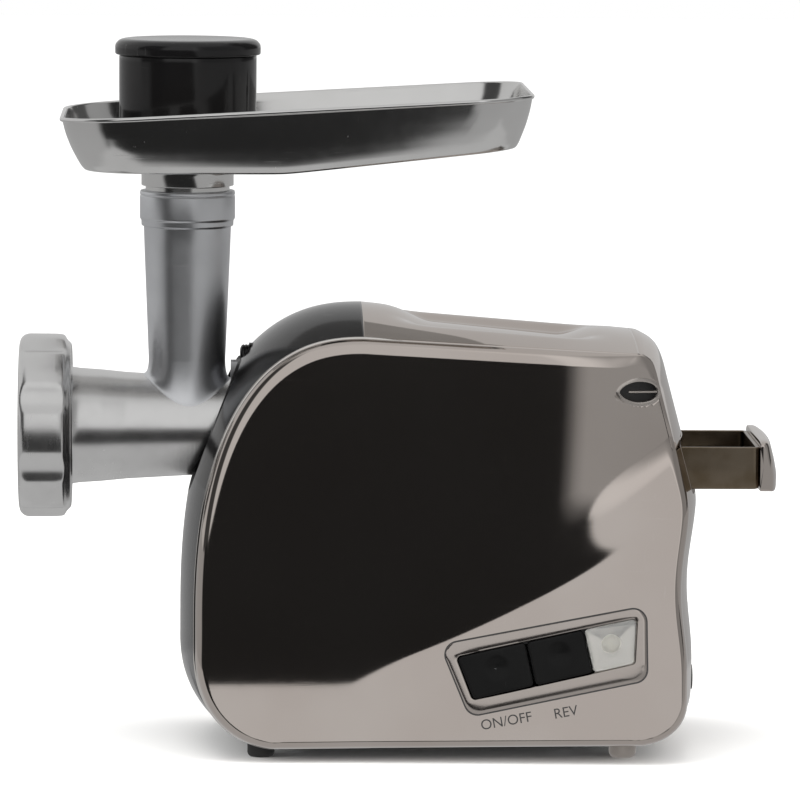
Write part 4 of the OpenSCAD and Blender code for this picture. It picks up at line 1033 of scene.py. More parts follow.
@dataclass
class Vents:
    """Almond vents, one on each side: a flange that stands on the panel, a deep well and a blade across it."""

    panels: SidePanels
    x: float = 127.5
    z: float = 203.2
    half_length: float = 10.7
    half_height: float = 6.1
    depth: float = 7.0

    def almond(self, grow: float, count: int = 96) -> np.ndarray:
        """Superellipse of power 1.65 at the front and 2.4 at the rear, moved out by grow.

        Args:
            grow: how far it is moved out.
            count: number of points.

        Returns:
            Closed path of x and z.
        """
        turn = np.linspace(0, 2 * math.pi, 240, endpoint=False)
        c, s = np.cos(turn), np.sin(turn)
        share = 2 / np.where(c < 0, 1.65, 2.4)
        return evenly(np.stack([self.x + (self.half_length + grow) * np.sign(c) * np.abs(c) ** share,
                                self.z + (self.half_height + grow) * np.sign(s) * np.abs(s) ** share], 1), count)

    def build(self, side: Side) -> None:
        """Makes one vent.

        Args:
            side: which side.
        """
        word = side.name.lower()
        section = [(1.7, -0.9), (1.65, 0.1), (1.2, 0.32), (0.1, 0.36), (-0.4, 0.0), (-0.6, -1.5), (-0.6, -self.depth),
                   (0.4, -self.depth), (0.4, -0.9)]
        rings = np.stack([self.almond(grow) for grow, _ in section])
        lift = np.array([rise for _, rise in section])[:, None]
        face = self.panels.height(rings[..., 0], rings[..., 1])
        grid = np.stack([rings[..., 0], side.value * (face + lift), rings[..., 1]], 2)
        floor = self.almond(-0.3)
        deep = self.panels.height(floor[:, 0], floor[:, 1]) - self.depth
        backs = [np.stack([floor[:, 0], side.value * (deep - step), floor[:, 1]], 1) for step in (0, 1)]
        back = Patch(np.stack(backs), caps=(True, True))
        section = np.array([(math.cos(a), math.sin(a)) for a in np.linspace(0, 2 * math.pi, 20, endpoint=False)])
        along = self.x + np.linspace(-5.3, 10.3, 24)
        y = self.panels.height(along, np.full(24, self.z)) - 1.2
        blade = np.stack([np.repeat(along[:, None], 20, 1),
                          side.value * (y[:, None] + 1.3 * section[None, :, 0]),
                          self.z + 0.75 * section[None, :, 1] + np.zeros((24, 1))], 2)
        vent = skin(f"{word}_vent_trim", Patch(grid, loop=True), Patch(blade, caps=(True, True)))
        dress(vent, "root", MATERIALS["vent_metal"], "vent_metal", f"{word}_vent")
        well = skin(f"{word}_vent_well", back)
        dress(well, "root", MATERIALS["dark_plastic"], "dark_plastic", f"{word}_vent")


@dataclass
class Covers:
    """The front, top and rear covers, crowned between the beads. Each is base + crown share times its bulge."""

    shape: BodyShape
    wall: float = 2.0
    hub_r: float = 37.0
    lock_z: float = 215.8
    lock_half_w: float = 7.0
    auger_z: float = AUGER_Z
    liner_x: float = -84.0

    def strip(self, low: tuple, high: tuple, y: np.ndarray, s: np.ndarray) -> np.ndarray:
        """Points of a crowned strip: the line without crown plus 1 - (y/64)^2 times the full crown's difference.

        Args:
            low: x and z of the line at the beads.
            high: x and z of the line at the crown.
            y: places across.
            s: places along, in mm from the line's start.

        Returns:
            Points of y's shape.
        """
        length = np.concatenate([[0], np.cumsum(np.hypot(np.diff(low[0]), np.diff(low[1])))])
        k = 1 - (y / self.shape.half_w) ** 2
        x, z = (np.interp(s, length, a) + k * np.interp(s, length, b - a) for a, b in zip(low, high))
        return np.stack([x, y, z - self.shape.dish(x, y, z)], -1)

    def holed(self, name: str, low: tuple, high: tuple, hole: np.ndarray, finish: str, replaced: str,
              liner_x: float, towards: tuple) -> None:
        """A cover with a hole seen along X, on rings that grow from the hole to the cover's border.

        Each point of the hole, as y and z, is found on the strip by its height, and a liner goes straight back
        from it.

        Args:
            name: the piece's name.
            low: line at the beads.
            high: line at the crown.
            hole: closed path of y and z.
            finish: material slot.
            replaced: CAD node.
            liner_x: how far along X the liner goes.
            towards: where the cover's outside looks.
        """
        length = np.concatenate([[0], np.cumsum(np.hypot(np.diff(low[0]), np.diff(low[1])))])
        k = (1 - (hole[:, 0] / self.shape.half_w) ** 2)[:, None]
        z = low[1] + k * (high[1] - low[1])
        rising = z[:, -1] > z[:, 0]
        z = np.where(rising[:, None], z, -z)
        want = np.where(rising, hole[:, 1], -hole[:, 1])[:, None]
        n = np.clip((z < want).sum(1), 1, z.shape[1] - 1)
        row = np.arange(len(hole))
        share = (want[:, 0] - z[row, n - 1]) / (z[row, n] - z[row, n - 1])
        s = length[n - 1] + share * (length[n] - length[n - 1])
        inner = np.stack([hole[:, 0], s], 1)
        heart = ((inner.min(0) + inner.max(0)) / 2)
        w, end = self.shape.half_w, length[-1]
        frame_path = np.array([[-w, 0], [w, 0], [w, end], [-w, end]], float)
        turn = rays(400, angles_about(frame_path, heart))
        a, b = by_angle(inner, heart, turn), by_angle(frame_path, heart, turn)
        flat = between(a, b, np.linspace(0, 1, 70) ** 1.25)
        grid = self.strip(low, high, flat[..., 0], flat[..., 1])
        roll = grid[0]
        depth = np.array([0.0, 0.25, 1.0, 4.0, 12.0, 400.0])
        step = np.minimum(depth[:, None], np.abs(liner_x - roll[None, :, 0])) * np.sign(liner_x - roll[None, :, 0])
        liner = np.repeat(roll[None], len(depth), 0)
        liner[..., 0] += step
        grid = np.concatenate([liner[::-1], grid[1:]])
        cover = skin(name, Patch(grid), sharp=50)
        walled(face_towards(cover, towards), self.wall)
        dress(cover, "root", MATERIALS[finish], finish, replaced)

    def build(self) -> None:
        """Makes the three covers."""
        shape = self.shape
        turn = np.radians(np.linspace(90 + 10.9, 450 - 10.9, 240))
        round_part = np.stack([self.hub_r * np.cos(turn), self.auger_z + self.hub_r * np.sin(turn)], 1)
        arc = np.radians(np.linspace(0, 180, 24))
        notch = np.stack([self.lock_half_w * np.cos(arc), self.lock_z + self.lock_half_w * np.sin(arc)], 1)
        self.holed("front_shell", shape.front(0.0, 0.0, 245), shape.front(shape.front_crown, shape.top_crown, 245),
                   np.concatenate([round_part, notch]), "black_gloss", "front_cover", self.liner_x, (-1, 0, 0))
        bay = rounded([(-44.6, 143.9), (44.6, 143.9), (44.6, 172.6), (-44.6, 172.6)], 3)
        self.holed("rear_shell", shape.rear(0.0, 0.0, -62), shape.rear(shape.top_crown, shape.rear_crown, -62),
                   bay, "chrome_shell", "rear_cover", 146.0, (1, 0, 0))
        low, high = shape.top(0.0, 120), shape.top(shape.top_crown, 120)
        y = np.linspace(-shape.half_w, shape.half_w, 97)[:, None] + np.zeros((1, 151))
        s = np.linspace(0, math.hypot(150, shape.top_fall), 151)[None] + np.zeros((97, 1))
        top = skin("top_shell", Patch(self.strip(low, high, y, s), wrap=False), sharp=50)
        walled(face_towards(top, (0, 0, 1)), self.wall)
        dress(top, "root", MATERIALS["chrome_shell"], "chrome_shell", "top_cover")


# ---------------------------------------------------------------- head and nut


@dataclass
class GrinderHead:
    """The cast head: a turned barrel with lugs, and a feed tube whose foot flows into it."""

    mouth_x: float = -187.5
    rear_x: float = -82.0
    bore: float = 23.5
    barrel: float = 26.7
    thread: float = 34.6
    pocket: float = 30.1
    tube_low: float = 21.2
    foot: float = 24.3
    waist_z: float = 214.0
    top_z: float = 307.4
    bore_z: float = 18.4

    def barrel_radius(self, x: np.ndarray) -> np.ndarray:
        """Outer radius of the barrel near the tube: a taper from the mouth to the hub.

        Args:
            x: places along the barrel.

        Returns:
            The radii.
        """
        return np.interp(x, [self.mouth_x + 36, TUBE_X, -100, self.rear_x], [29.6, 27.7, 26.7, 26.7])

    def barrel_patch(self) -> Patch:
        """Closed turned section, with the lugs as sectors of larger radius and cells left out under the tube.

        Returns:
            The patch, open where the tube stands on it.
        """
        m = self.mouth_x
        outer = softened([(m + 0.2, self.pocket), (m, self.thread - 0.6), (m + 0.6, self.thread),
                          (m + 1.4, self.thread - 1), (m + 2.2, self.thread), (m + 3, self.thread - 1),
                          (m + 3.8, self.thread), (m + 5.5, self.thread - 0.6), (m + 6, self.thread - 2.2),
                          (m + 10, self.thread - 2.8)], 0.35, 2)
        x = np.linspace(m + 12, -89, 70)
        flow = np.interp(x, [m + 10, m + 22, m + 36], [31.8, 31.0, 29.6])
        flow = np.where(x > m + 36, self.barrel_radius(x), flow)
        ends = [(-88.05, self.barrel), (-88.0, self.barrel), (-82.4, self.barrel), (self.rear_x, self.barrel - 0.4),
                (self.rear_x, self.bore + 0.4)]
        inner = [(q, self.bore) for q in np.linspace(-82.4, -173.0, 70)]
        mouth = [(-173.4, self.pocket - 1.6), (m + 5.2, self.pocket - 1.6), (m + 5, self.pocket),
                 (m + 0.3, self.pocket)]
        profile = outer + list(zip(x, flow)) + ends + inner + mouth
        grid = revolve(profile, 216, "x", (0, AUGER_Z))
        turn = np.linspace(0, 2 * math.pi, 216, endpoint=False) - math.pi / 2
        off = np.abs((turn + math.pi / 3) % (2 * math.pi / 3) - math.pi / 3)
        lug = (np.abs(np.array([p[0] for p in profile]) + 85.2) < 2.85)[:, None] & (off < math.radians(16))[None]
        lug &= np.array([p[1] for p in profile])[:, None] > self.barrel - 0.1
        scale = np.where(lug, 32.4 / self.barrel, 1.0)[..., None]
        axis = np.array([0, 0, AUGER_Z])
        grid = np.where(np.arange(3) == 0, grid, axis + (grid - axis) * scale)
        middle = (grid + np.roll(grid, -1, 0) + np.roll(grid, -1, 1) + np.roll(np.roll(grid, -1, 0), -1, 1)) / 4
        away = np.hypot(middle[..., 0] - TUBE_X, middle[..., 1])
        radius = np.hypot(middle[..., 1], middle[..., 2] - AUGER_Z)
        limit = np.where(radius > 25, self.foot - 1.3, self.bore_z + 0.3)
        keep = ~((away < limit) & (middle[..., 2] > AUGER_Z))
        return Patch(grid, loop=True, keep=keep)

    def tube_patch(self, count: int = 192) -> Patch:
        """Feed tube from its foot up to the collar and down inside.

        For each angle the foot lies on the barrel, and a quadratic curve leaves along the barrel's own slope and
        ends upright at the tube's waist.

        Args:
            count: number of points round.

        Returns:
            The patch.
        """
        turn = np.linspace(0, 2 * math.pi, count, endpoint=False)
        c, s = np.cos(turn), np.sin(turn)
        rb = self.barrel_radius(TUBE_X + self.foot * c)
        h = np.sqrt(rb**2 - (self.foot * s) ** 2)
        foot_z = AUGER_Z + h
        slope = np.clip(self.foot * s**2 / h, 0, 3.2)
        bend_z = foot_z + (self.foot - self.tube_low) * slope
        t = np.linspace(0, 1, 22)[:, None]
        radius = np.repeat(self.tube_low + (1 - t) ** 2 * (self.foot - self.tube_low), count, 1)
        height = (1 - t) ** 2 * foot_z + 2 * t * (1 - t) * bend_z + t * t * self.waist_z
        profile = softened([(self.waist_z + 0.2, self.tube_low), (276, 23.7), (287.6, 24.1), (288, 25.4),
                            (291, 25.5), (292, 26.3), (304.4, 26.3), (304.9, 25.9), (305.4, 26.3),
                            (self.top_z - 0.5, 26.2), (self.top_z, 25.8),
                            (self.top_z, 20.95), (294.9, 20.95), (294.6, self.bore_z), (205, self.bore_z)], 0.6, 4)
        p = np.array(profile)
        radius = np.concatenate([radius, np.repeat(p[:, 1:], count, 1)])
        height = np.concatenate([height, np.repeat(p[:, :1], count, 1)])
        end = AUGER_Z + np.sqrt(self.bore**2 - (self.bore_z * s) ** 2) - 0.5
        radius = np.concatenate([radius, np.full((1, count), self.bore_z)])
        height = np.concatenate([height, end[None]])
        return Patch(np.stack([TUBE_X + radius * c, radius * s, height], 2))

    def build(self) -> None:
        """Makes the head."""
        barrel = skin("head_barrel", self.barrel_patch(), sharp=40)
        dress(barrel, "head", MATERIALS["head_aluminium"], "head_aluminium", "grinder_head")
        tube = skin("head_tube", self.tube_patch(), sharp=40)
        dress(tube, "head", MATERIALS["tube_aluminium"], "head_aluminium", "grinder_head")


@dataclass
class RingNut:
    """Ring nut: a turned section whose radius is held under round scallops, joined by a soft minimum."""

    front_x: float = -211.0
    rear_x: float = -182.1
    radius: float = 50.8
    lobes: int = 8
    scallop: float = 14.0
    scallop_out: float = 11.4
    blend: float = 1.1
    columns: int = 480
    lip: float = 26.0

    def build(self) -> None:
        """Makes the nut."""
        f = self.front_x
        outside = softened([(f + 0.8, 34.0), (f, 39.5), (f, 45.5), (f + 0.8, 48.2), (f + 2.6, 50.0),
                            (f + 5, self.radius), (-190, 50.7), (-186, 50.2), (-184.6, 47.5), (self.rear_x, 45.2),
                            (self.rear_x, 35.6)], 1.2, 4)
        inside_ = softened([(self.rear_x + 0.1, 34.75), (-188.7, 34.7), (-188.7, self.lip + 0.4), (-189.5, self.lip),
                            (-198.6, self.lip), (-199.2, self.lip + 1.6), (f + 0.8, 34.0)], 0.5, 3)
        profile = outside + inside_[:-1]
        grid = revolve(profile, self.columns, "x", (0, AUGER_Z))
        turn = np.linspace(0, 2 * math.pi, self.columns, endpoint=False) - math.pi / 2
        pitch = 2 * math.pi / self.lobes
        off = (turn % pitch) - pitch / 2
        far = self.radius + self.scallop_out
        under = np.clip(self.scallop**2 - (far * np.sin(off)) ** 2, 0, None)
        cut = np.where(under > 0, far * np.cos(off) - np.sqrt(under), 80.0)
        r = np.array([p[1] for p in profile])[:, None]
        soft = self.blend
        held = -soft * np.log(np.exp(-(r - 40) / soft) + np.exp(-(cut[None] - 40) / soft)) + 40
        held = np.where(r > 40, held, r)
        axis = np.array([0, 0, AUGER_Z])
        grid = np.where(np.arange(3) == 0, grid, axis + (grid - axis) * (held / r)[..., None])
        nut = skin("ring_nut_casting", Patch(grid, loop=True), sharp=45)
        dress(nut, "nut", MATERIALS["head_aluminium"], "head_aluminium", "ring_nut")


# ---------------------------------------------------------------- tray and pusher


@dataclass
class Tray:
    """The hopper tray: one closed sheet from the neck, over the floor and wall to the rolled rim, and back inside."""

    front_x: float = -186.8
    rear_x: float = 69.2
    half_w: float = 85.0
    floor_z: float = 321.0
    rim_z: float = 350.2
    rim_rise: float = 0.056
    floor_rise: float = 0.112
    bend_x: float = -65.3
    depth: float = 29.2
    sheet: float = 1.2
    front_round: float = 42.0
    rear_round: float = 30.0

    def outline(self, pull: float) -> np.ndarray:
        """Plan outline drawn in by pull: four arcs, the front pair larger, with straight sides between them.

        Args:
            pull: how far it is drawn in.

        Returns:
            Closed path of x and y.
        """
        x0, x1, w = self.front_x + pull, self.rear_x - 0.7 * pull, self.half_w - pull
        rf, rr = self.front_round - 0.6 * pull, self.rear_round - 0.6 * pull
        a = np.radians(np.linspace(0, 90, 25))
        rear = np.stack([x1 - rr + rr * np.cos(a), w - rr + rr * np.sin(a)], 1)
        front = np.stack([x0 + rf - rf * np.sin(a), w - rf + rf * np.cos(a)], 1)
        half = np.concatenate([rear, front])
        return evenly(np.concatenate([half, (half * [1, -1])[::-1]]), 1200)

    def ring(self, pull: float, rise: float, turn: np.ndarray, lift: float = 0.0) -> np.ndarray:
        """Ring at a height above the floor: rise of 0 is the floor's level and the tray's depth is the rim's.

        Args:
            pull: how far it is drawn in.
            rise: height above the floor.
            turn: angles about the tube's axis.
            lift: height added to all of it.

        Returns:
            One point for each angle.
        """
        flat = by_angle(self.outline(pull), (TUBE_X, 0), turn)
        bend = flat[:, 0] - self.bend_x
        low = self.floor_z + self.floor_rise * (bend + np.sqrt(bend**2 + 36)) / 2
        high = self.rim_z + self.rim_rise * (flat[:, 0] - self.front_x)
        return np.stack([flat[:, 0], flat[:, 1], low + (high - low) * rise / self.depth + lift], 1)

    def floor(self, radius: float, pull: float, lift: float, turn: np.ndarray) -> np.ndarray:
        """Rings of the floor between a circle round the tube and the foot of the wall, at the floor's own level.

        Args:
            radius: radius of the circle.
            pull: how far the wall's foot is drawn in.
            lift: height added to all of it.
            turn: angles about the tube's axis.

        Returns:
            One ring for each share of the way.
        """
        circle = np.stack([TUBE_X + radius * np.cos(turn), radius * np.sin(turn)], 1)
        edge = by_angle(self.outline(pull), (TUBE_X, 0), turn)
        flat = between(circle, edge, np.linspace(0, 1, 34) ** 1.2)
        bend = flat[..., 0] - self.bend_x
        low = self.floor_z + self.floor_rise * (bend + np.sqrt(bend**2 + 36)) / 2 + lift
        return np.concatenate([flat, low[..., None]], 2)

    def build(self) -> None:
        """Makes the tray."""
        turn = rays(360)
        circles = [(18.9, 296.1), (19.1, 295.9), (20.7, 295.9), (20.9, 296.1), (20.9, 307.3), (21.0, 307.4),
                   (23.0, 307.4), (23.2, 307.6), (23.2, 309.8), (23.4, 310), (25.3, 310.2), (25.5, 310.5),
                   (25.5, 316.4),
                   (25.9, 318.2), (27.2, 319.9), (29.4, 320.8)]
        wall = np.array(softened([(22, 0), (12.6, 0.05), (10.4, 2.6), (8.4, 6.0), (5.0, 12.4), (1.9, 20.4),
                                  (0.3, 27.0)], 3.0, 5))
        t = self.sheet
        bead_turn = np.radians(np.linspace(-60, 180, 13))
        bead = [(-1.25 * math.cos(a), 1.25 * math.sin(a)) for a in bead_turn]
        neck = [np.stack([TUBE_X + r * np.cos(turn), r * np.sin(turn), np.full(len(turn), z)], 1) for r, z in circles]
        outer = self.floor(31.5, 22.0, 0.0, turn)
        rings = neck + list(outer) + [self.ring(p, h, turn) for p, h in wall[1:]]
        rings += [self.ring(p, self.depth, turn, h - 1.1) for p, h in bead]
        rings += [self.ring(p + t, h, turn, t) for p, h in wall[::-1][:-1]]
        rings += list(self.floor(21.0, 22.0 + t, t, turn)[::-1])
        rings += [np.stack([TUBE_X + r * np.cos(turn), r * np.sin(turn), np.full(len(turn), z)], 1)
                  for r, z in ((19.9, 321.9), (19.1, 321.0), (18.9, 320.0))]
        tray = skin("tray_sheet", Patch(np.stack(rings), loop=True), sharp=35)
        dress(tray, "tray", MATERIALS["tray_steel"], "tray_steel", "hopper_tray")


@dataclass
class Pusher:
    """The pusher's hollow cup on its stem, with a slit in its wall, and the lid that covers it."""

    cup: float = 37.9
    lid: float = 40.2
    stem: float = 17.0
    top_z: float = 391.3
    lid_z: float = 382.3
    slit_at: float = -31.0

    def build(self) -> None:
        """Makes the cup and the lid."""
        low = [(224.5, 0.01), (224.5, 14.6), (226.8, 16.9), (262, self.stem), (320.5, self.stem), (323.4, 18.4),
               (323.4, 35.6), (325.2, 37.6), (352, 37.8), (366.0, self.cup), (377.5, self.cup),
               (self.lid_z, self.cup), (self.lid_z, 35.7), (325.9, 35.4), (325.6, 14.8), (227, 14.6), (226.8, 0.01)]
        profile = softened(low, 1.6, 5)
        grid = revolve(profile, 360, "z", (TUBE_X, 0))
        turn = np.degrees(np.linspace(0, 2 * math.pi, 360, endpoint=False))
        near = np.abs((turn - self.slit_at + 180) % 360 - 180) < 0.9
        p = np.array(profile)
        deep = ((p[:, 0] > 325) & (p[:, 0] < 366.5) & (p[:, 1] > 36.5))[:, None] & near[None]
        centre = np.array([TUBE_X, 0, 0])
        grid = np.where((np.arange(3) < 2) & deep[..., None], centre + (grid - centre) * (36.9 / 37.9), grid)
        cup = skin("pusher_cup", Patch(grid), sharp=40)
        dress(cup, "pusher_body", MATERIALS["black_gloss"], "black_gloss", "pusher")
        z, r = self.lid_z, self.lid
        cap = softened([(z - 5, 0.01), (z - 5, 35.0), (z + 0.2, 35.2), (z + 0.1, r - 0.7), (z + 0.8, r - 0.1),
                        (z + 5.6, r), (self.top_z - 0.9, r - 2.2), (self.top_z, r - 5.6), (self.top_z - 0.25, 30),
                        (self.top_z - 0.7, 12),
                        (self.top_z - 0.8, 0.01)], 1.8, 6)
        lid = skin("pusher_cap", Patch(revolve(cap, 300, "z", (TUBE_X, 0))), sharp=40)
        dress(lid, "lid", MATERIALS["black_gloss"], "black_gloss", "pusher_lid")


# ---------------------------------------------------------------- drawer


@dataclass
class Drawer:
    """The drawer: a pressed box with round corners, and a bowed front that leans out towards the bottom."""

    low_x: float = 67.0
    high_x: float = 197.0
    half_w: float = 42.0
    low_z: float = 146.5
    high_z: float = 170.0
    wall: float = 2.0
    front_x: float = 209.0
    front_half_w: float = 45.0
    bow: float = 260.0

    def box(self) -> None:
        """The box: rounded outlines stacked from the bottom up the outside, over the lip and down the inside."""
        x0, x1, w = self.low_x, self.high_x, self.half_w
        middle = ((x0 + x1) / 2, 0)
        corners = rounded([(x0, -w), (x1, -w), (x1, w), (x0, w)], 3.0, 6)
        turn = rays(240, angles_about(corners, middle))
        levels = [(6, 0), (2.0, 0), (0.6, 0.5), (0, 2.0), (0, 12.0), (0, self.high_z - self.low_z - 0.5),
                  (0.4, self.high_z - self.low_z), (1.6, self.high_z - self.low_z),
                  (2.0, self.high_z - self.low_z - 0.5), (2.0, 12.0), (2.0, 3.6), (2.6, 2.3), (4.2, 2.0), (8.0, 2.0)]
        rings = []
        for pull, rise in levels:
            path = by_angle(rounded([(x0 + pull, -w + pull), (x1 - pull, -w + pull), (x1 - pull, w - pull),
                                     (x0 + pull, w - pull)], max(0.6, 3.0 - 0.4 * pull), 6), middle, turn)
            rings.append(np.concatenate([path, np.full((len(turn), 1), self.low_z + rise)], 1))
        box = skin("drawer_pressing", Patch(np.stack(rings), caps=(True, True)), sharp=35)
        dress(box, "drawer", MATERIALS["drawer_metal"], "drawer_metal", "drawer_box")

    def front(self) -> None:
        """The front: a closed section carried across, its outer face on an arc in plan, drawn in at the ends."""
        section = np.array(softened([(0.0, 0.30), (0.0, 0.0), (0.98, 0.0), (1.0, 0.3), (0.86, 0.60), (0.62, 0.95),
                                     (0.44, 1.0), (0.0, 1.0), (0.0, 0.30)], 0.09, 5))[:-1]
        share = np.sin(np.linspace(-90, 90, 65) * math.pi / 180)
        y = share * self.front_half_w
        face = self.front_x - (self.bow - np.sqrt(self.bow**2 - y**2))
        pinch = (1 - np.abs(share) ** 9) ** (1 / 3)
        low = self.low_z - 1.4 + 2.2 * (1 - pinch)
        high = self.high_z + 3.6 - 3.0 * (1 - pinch)
        thick = (face - self.high_x) * (0.45 + 0.55 * pinch)
        x = self.high_x + thick[:, None] * section[None, :, 0]
        z = low[:, None] + (high - low)[:, None] * section[None, :, 1]
        front = skin("drawer_fascia", Patch(np.stack([x, y[:, None] + 0 * x, z], 2), caps=(True, True)), sharp=45)
        dress(front, "drawer", MATERIALS["chrome_shell"], "chrome_shell", "drawer_front")


# ---------------------------------------------------------------- controls


@dataclass
class Controls:
    """The bezel, its two keys, the clear lens over a lamp, and the words beneath. All follow the panel's face."""

    panels: SidePanels
    proud: float = 0.7
    gap: float = 0.4
    bezel: tuple = ((20.4, 65), (36.4, 26.5), (132.9, 47), (132.2, 86.8))
    window: tuple = ((28.8, 58.8), (38, 35.2), (126, 55.6), (127.4, 80.6))
    ends: tuple = ((0.0, 0.0), (0.385, 0.385), (0.705, 0.745), (1.0, 1.0))

    def field(self, index: int, gap: float) -> np.ndarray:
        """Four corners of a field of the window, between two of its end lines, drawn in by a gap.

        Args:
            index: 0 for the first key, 1 for the second, 2 for the lens.
            gap: clearance on every side.

        Returns:
            The corners.
        """
        w = np.array(self.window, float)
        (a0, a1), (b0, b1) = self.ends[index], self.ends[index + 1]
        top, bottom = (lambda s: w[0] + s * (w[3] - w[0])), (lambda s: w[1] + s * (w[2] - w[1]))
        return np.array([top(a0) + [gap, -gap], bottom(a1) + [gap, gap],
                         bottom(b1) + [-gap, gap], top(b0) + [-gap, -gap]])

    def lifted(self, flat: np.ndarray, rise: object) -> np.ndarray:
        """Places points of x and z on the left panel's face, at a rise from it.

        Args:
            flat: array whose last axis is x and z.
            rise: distance out from the face.

        Returns:
            Points of x, y and z.
        """
        x, z = flat[..., 0], flat[..., 1]
        return np.stack([x, -(self.panels.height(x, z) + rise), z], -1)

    def plate(self, outline: np.ndarray, levels: list, dimple: float = 0.0, reach: float = 8.0) -> Patch:
        """A plate seen along Y: rings from its middle to its outline, then over the edge and down its side.

        Args:
            outline: closed path of x and z.
            levels: (inset, rise from the panel's face) from the plate's edge inwards to the back.
            dimple: depth of a round hollow above the middle.
            reach: radius of the hollow.

        Returns:
            The patch, on the left side.
        """
        heart = outline.mean(0)
        turn = rays(160, angles_about(outline, heart))
        rim = by_angle(outline, heart, turn)
        spoke = (rim - heart) / np.linalg.norm(rim - heart, axis=1)[:, None]
        inset, level = levels[0]
        face = between(np.broadcast_to(heart, rim.shape), rim - spoke * inset, np.linspace(0.02, 1, 26))
        away = np.linalg.norm(face - heart - [0, 2], axis=2)
        rows = [self.lifted(face, level - dimple * (1 - smooth(away / reach)))]
        rows += [self.lifted(rim - spoke * inset, level)[None] for inset, level in levels[1:]]
        return Patch(np.concatenate(rows), caps=(True, True))

    def band(self, inner: np.ndarray, outer: np.ndarray, section: list) -> Patch:
        """A closed band between two outlines: a section of (share from inner to outer, rise) carried round.

        Args:
            inner: inner closed path.
            outer: outer closed path.
            section: corners of the section.

        Returns:
            The patch.
        """
        heart = (outer.min(0) + outer.max(0)) / 2
        turn = rays(300, angles_about(inner, heart), angles_about(outer, heart))
        shares, rises = np.array(section).T
        flat = between(by_angle(inner, heart, turn), by_angle(outer, heart, turn), shares)
        return Patch(self.lifted(flat, rises[:, None]), loop=True)

    def frame(self) -> None:
        """The bezel over its rounded crest with the window's liner, and a dark band round it that paints the shade of
        the groove at its edge.
        """
        outer, inner = rounded(list(self.bezel), 7, 12), rounded(list(self.window), 2.6, 8)
        top = self.proud
        section = [(0.0, -5.0), (0.0, top - 1.0), (0.015, top - 0.45), (0.06, top - 0.12), (0.16, top),
                   (0.5, top + 0.06),
                   (0.78, top), (0.92, top - 0.15), (0.985, top - 0.4), (1.0, top - 0.75), (1.0, -1.2)]
        bezel = skin("bezel_frame", self.band(inner, outer, section), sharp=40)
        dress(bezel, "root", MATERIALS["bezel_paint"], "bezel_paint", "control_bezel")
        # Painted shade: a dark band 0.75 mm wide, a little proud of the face, in place of the shaded groove round the
        # bezel.
        around = outer + outward(outer) * 0.75
        line = self.band(outer, around, [(0.0, -1.2), (0.0, 0.1), (1.0, 0.1), (1.0, -1.2)])
        dress(skin("bezel_groove_shade", line, sharp=40), "root", MATERIALS["dark_plastic"], "dark_plastic")

    def keys(self) -> None:
        """The two keys, with finger dimples, and the lens with its lamp."""
        sides = [(1.3, 1.3), (0.75, 1.2), (0.3, 0.88), (0.05, 0.3), (0, -0.5), (0, -8.0)]
        for index, (name, body, node) in enumerate((("start_key", "on_off", "on_off_key"),
                                                    ("back_key", "reverse", "reverse_key"))):
            outline = rounded(list(self.field(index, self.gap)), 2.2, 6)
            key = skin(name, self.plate(outline, sides, 0.9, 7.5), sharp=40)
            dress(key, body, MATERIALS["key_gloss"], "black_gloss", node)
        outline = rounded(list(self.field(2, 0.3)), 2.2, 6)
        levels = [(2.0, 0.9), (1.1, 0.72), (0.4, 0.3), (0, -0.3), (0, -1.4), (0.8, -1.8)]
        lens = skin("lens_cover", self.plate(outline, levels, -0.5, 9.0), sharp=40)
        dress(lens, "root", MATERIALS["lens"], "lens", "clear_lens")
        middle = self.field(2, 0.4).mean(0)
        dome = [(-78.9 + 4.2 * (1 - math.sin(a)), 4.2 * math.cos(a)) for a in np.radians(np.linspace(88, 0, 14))]
        stalk = [(-74.4, 5.0), (-73.6, 5.0), (-73.6, 4.2), (-68.9, 4.0)]
        lamp = skin("lamp_dome", Patch(revolve(dome + stalk, 72, "y", tuple(middle)), caps=(True, True)))
        dress(lamp, "root", MATERIALS["lamp"], "lamp", "indicator_lamp")
        back = rounded(list(self.field(2, 0.2)), 2.0, 6)
        tray = skin("lamp_tray", self.plate(back, [(0.4, -6.6), (0, -7.0), (0, -8.0)]), sharp=40)
        dress(tray, "root", MATERIALS["trim_chrome"], "trim_chrome")

    def words(self) -> None:
        """The two words under the bezel, raised 0.12 mm and leaning with its lower edge."""
        c, s = math.cos(math.radians(10.5)), math.sin(math.radians(10.5))
        for name, text, x, z in (("word_start", "ON/OFF", 56.8, 21.6), ("word_back", "REV", 89.1, 26.7)):
            curve = bpy.data.curves.new(name, "FONT")
            curve.body = text
            curve.size = 7.8
            curve.extrude = 0.12
            curve.align_x = "CENTER"
            flat = bpy.data.objects.new(name + "_curve", curve)
            bpy.context.scene.collection.objects.link(flat)
            mesh = bpy.data.meshes.new_from_object(flat.evaluated_get(bpy.context.evaluated_depsgraph_get()))
            bpy.data.objects.remove(flat)
            co = np.empty(len(mesh.vertices) * 3)
            mesh.vertices.foreach_get("co", co)
            co = co.reshape(-1, 3)
            lying = np.stack([co[:, 0] * c - co[:, 1] * s + x, co[:, 0] * s + co[:, 1] * c + z], 1)
            placed = (self.lifted(lying, 0.02 + co[:, 2]) + np.array([DATUM_X, 0, 0])) * MM
            mesh.vertices.foreach_set("co", placed.ravel())
            mesh.update()
            word = bpy.data.objects.new(name, mesh)
            bpy.context.scene.collection.objects.link(word)
            dress(word, "root", MATERIALS["dark_plastic"], "dark_plastic")

    def build(self) -> None:
        """Makes all the controls."""
        self.frame()
        self.keys()
        self.words()


# ---------------------------------------------------------------- feet and lock


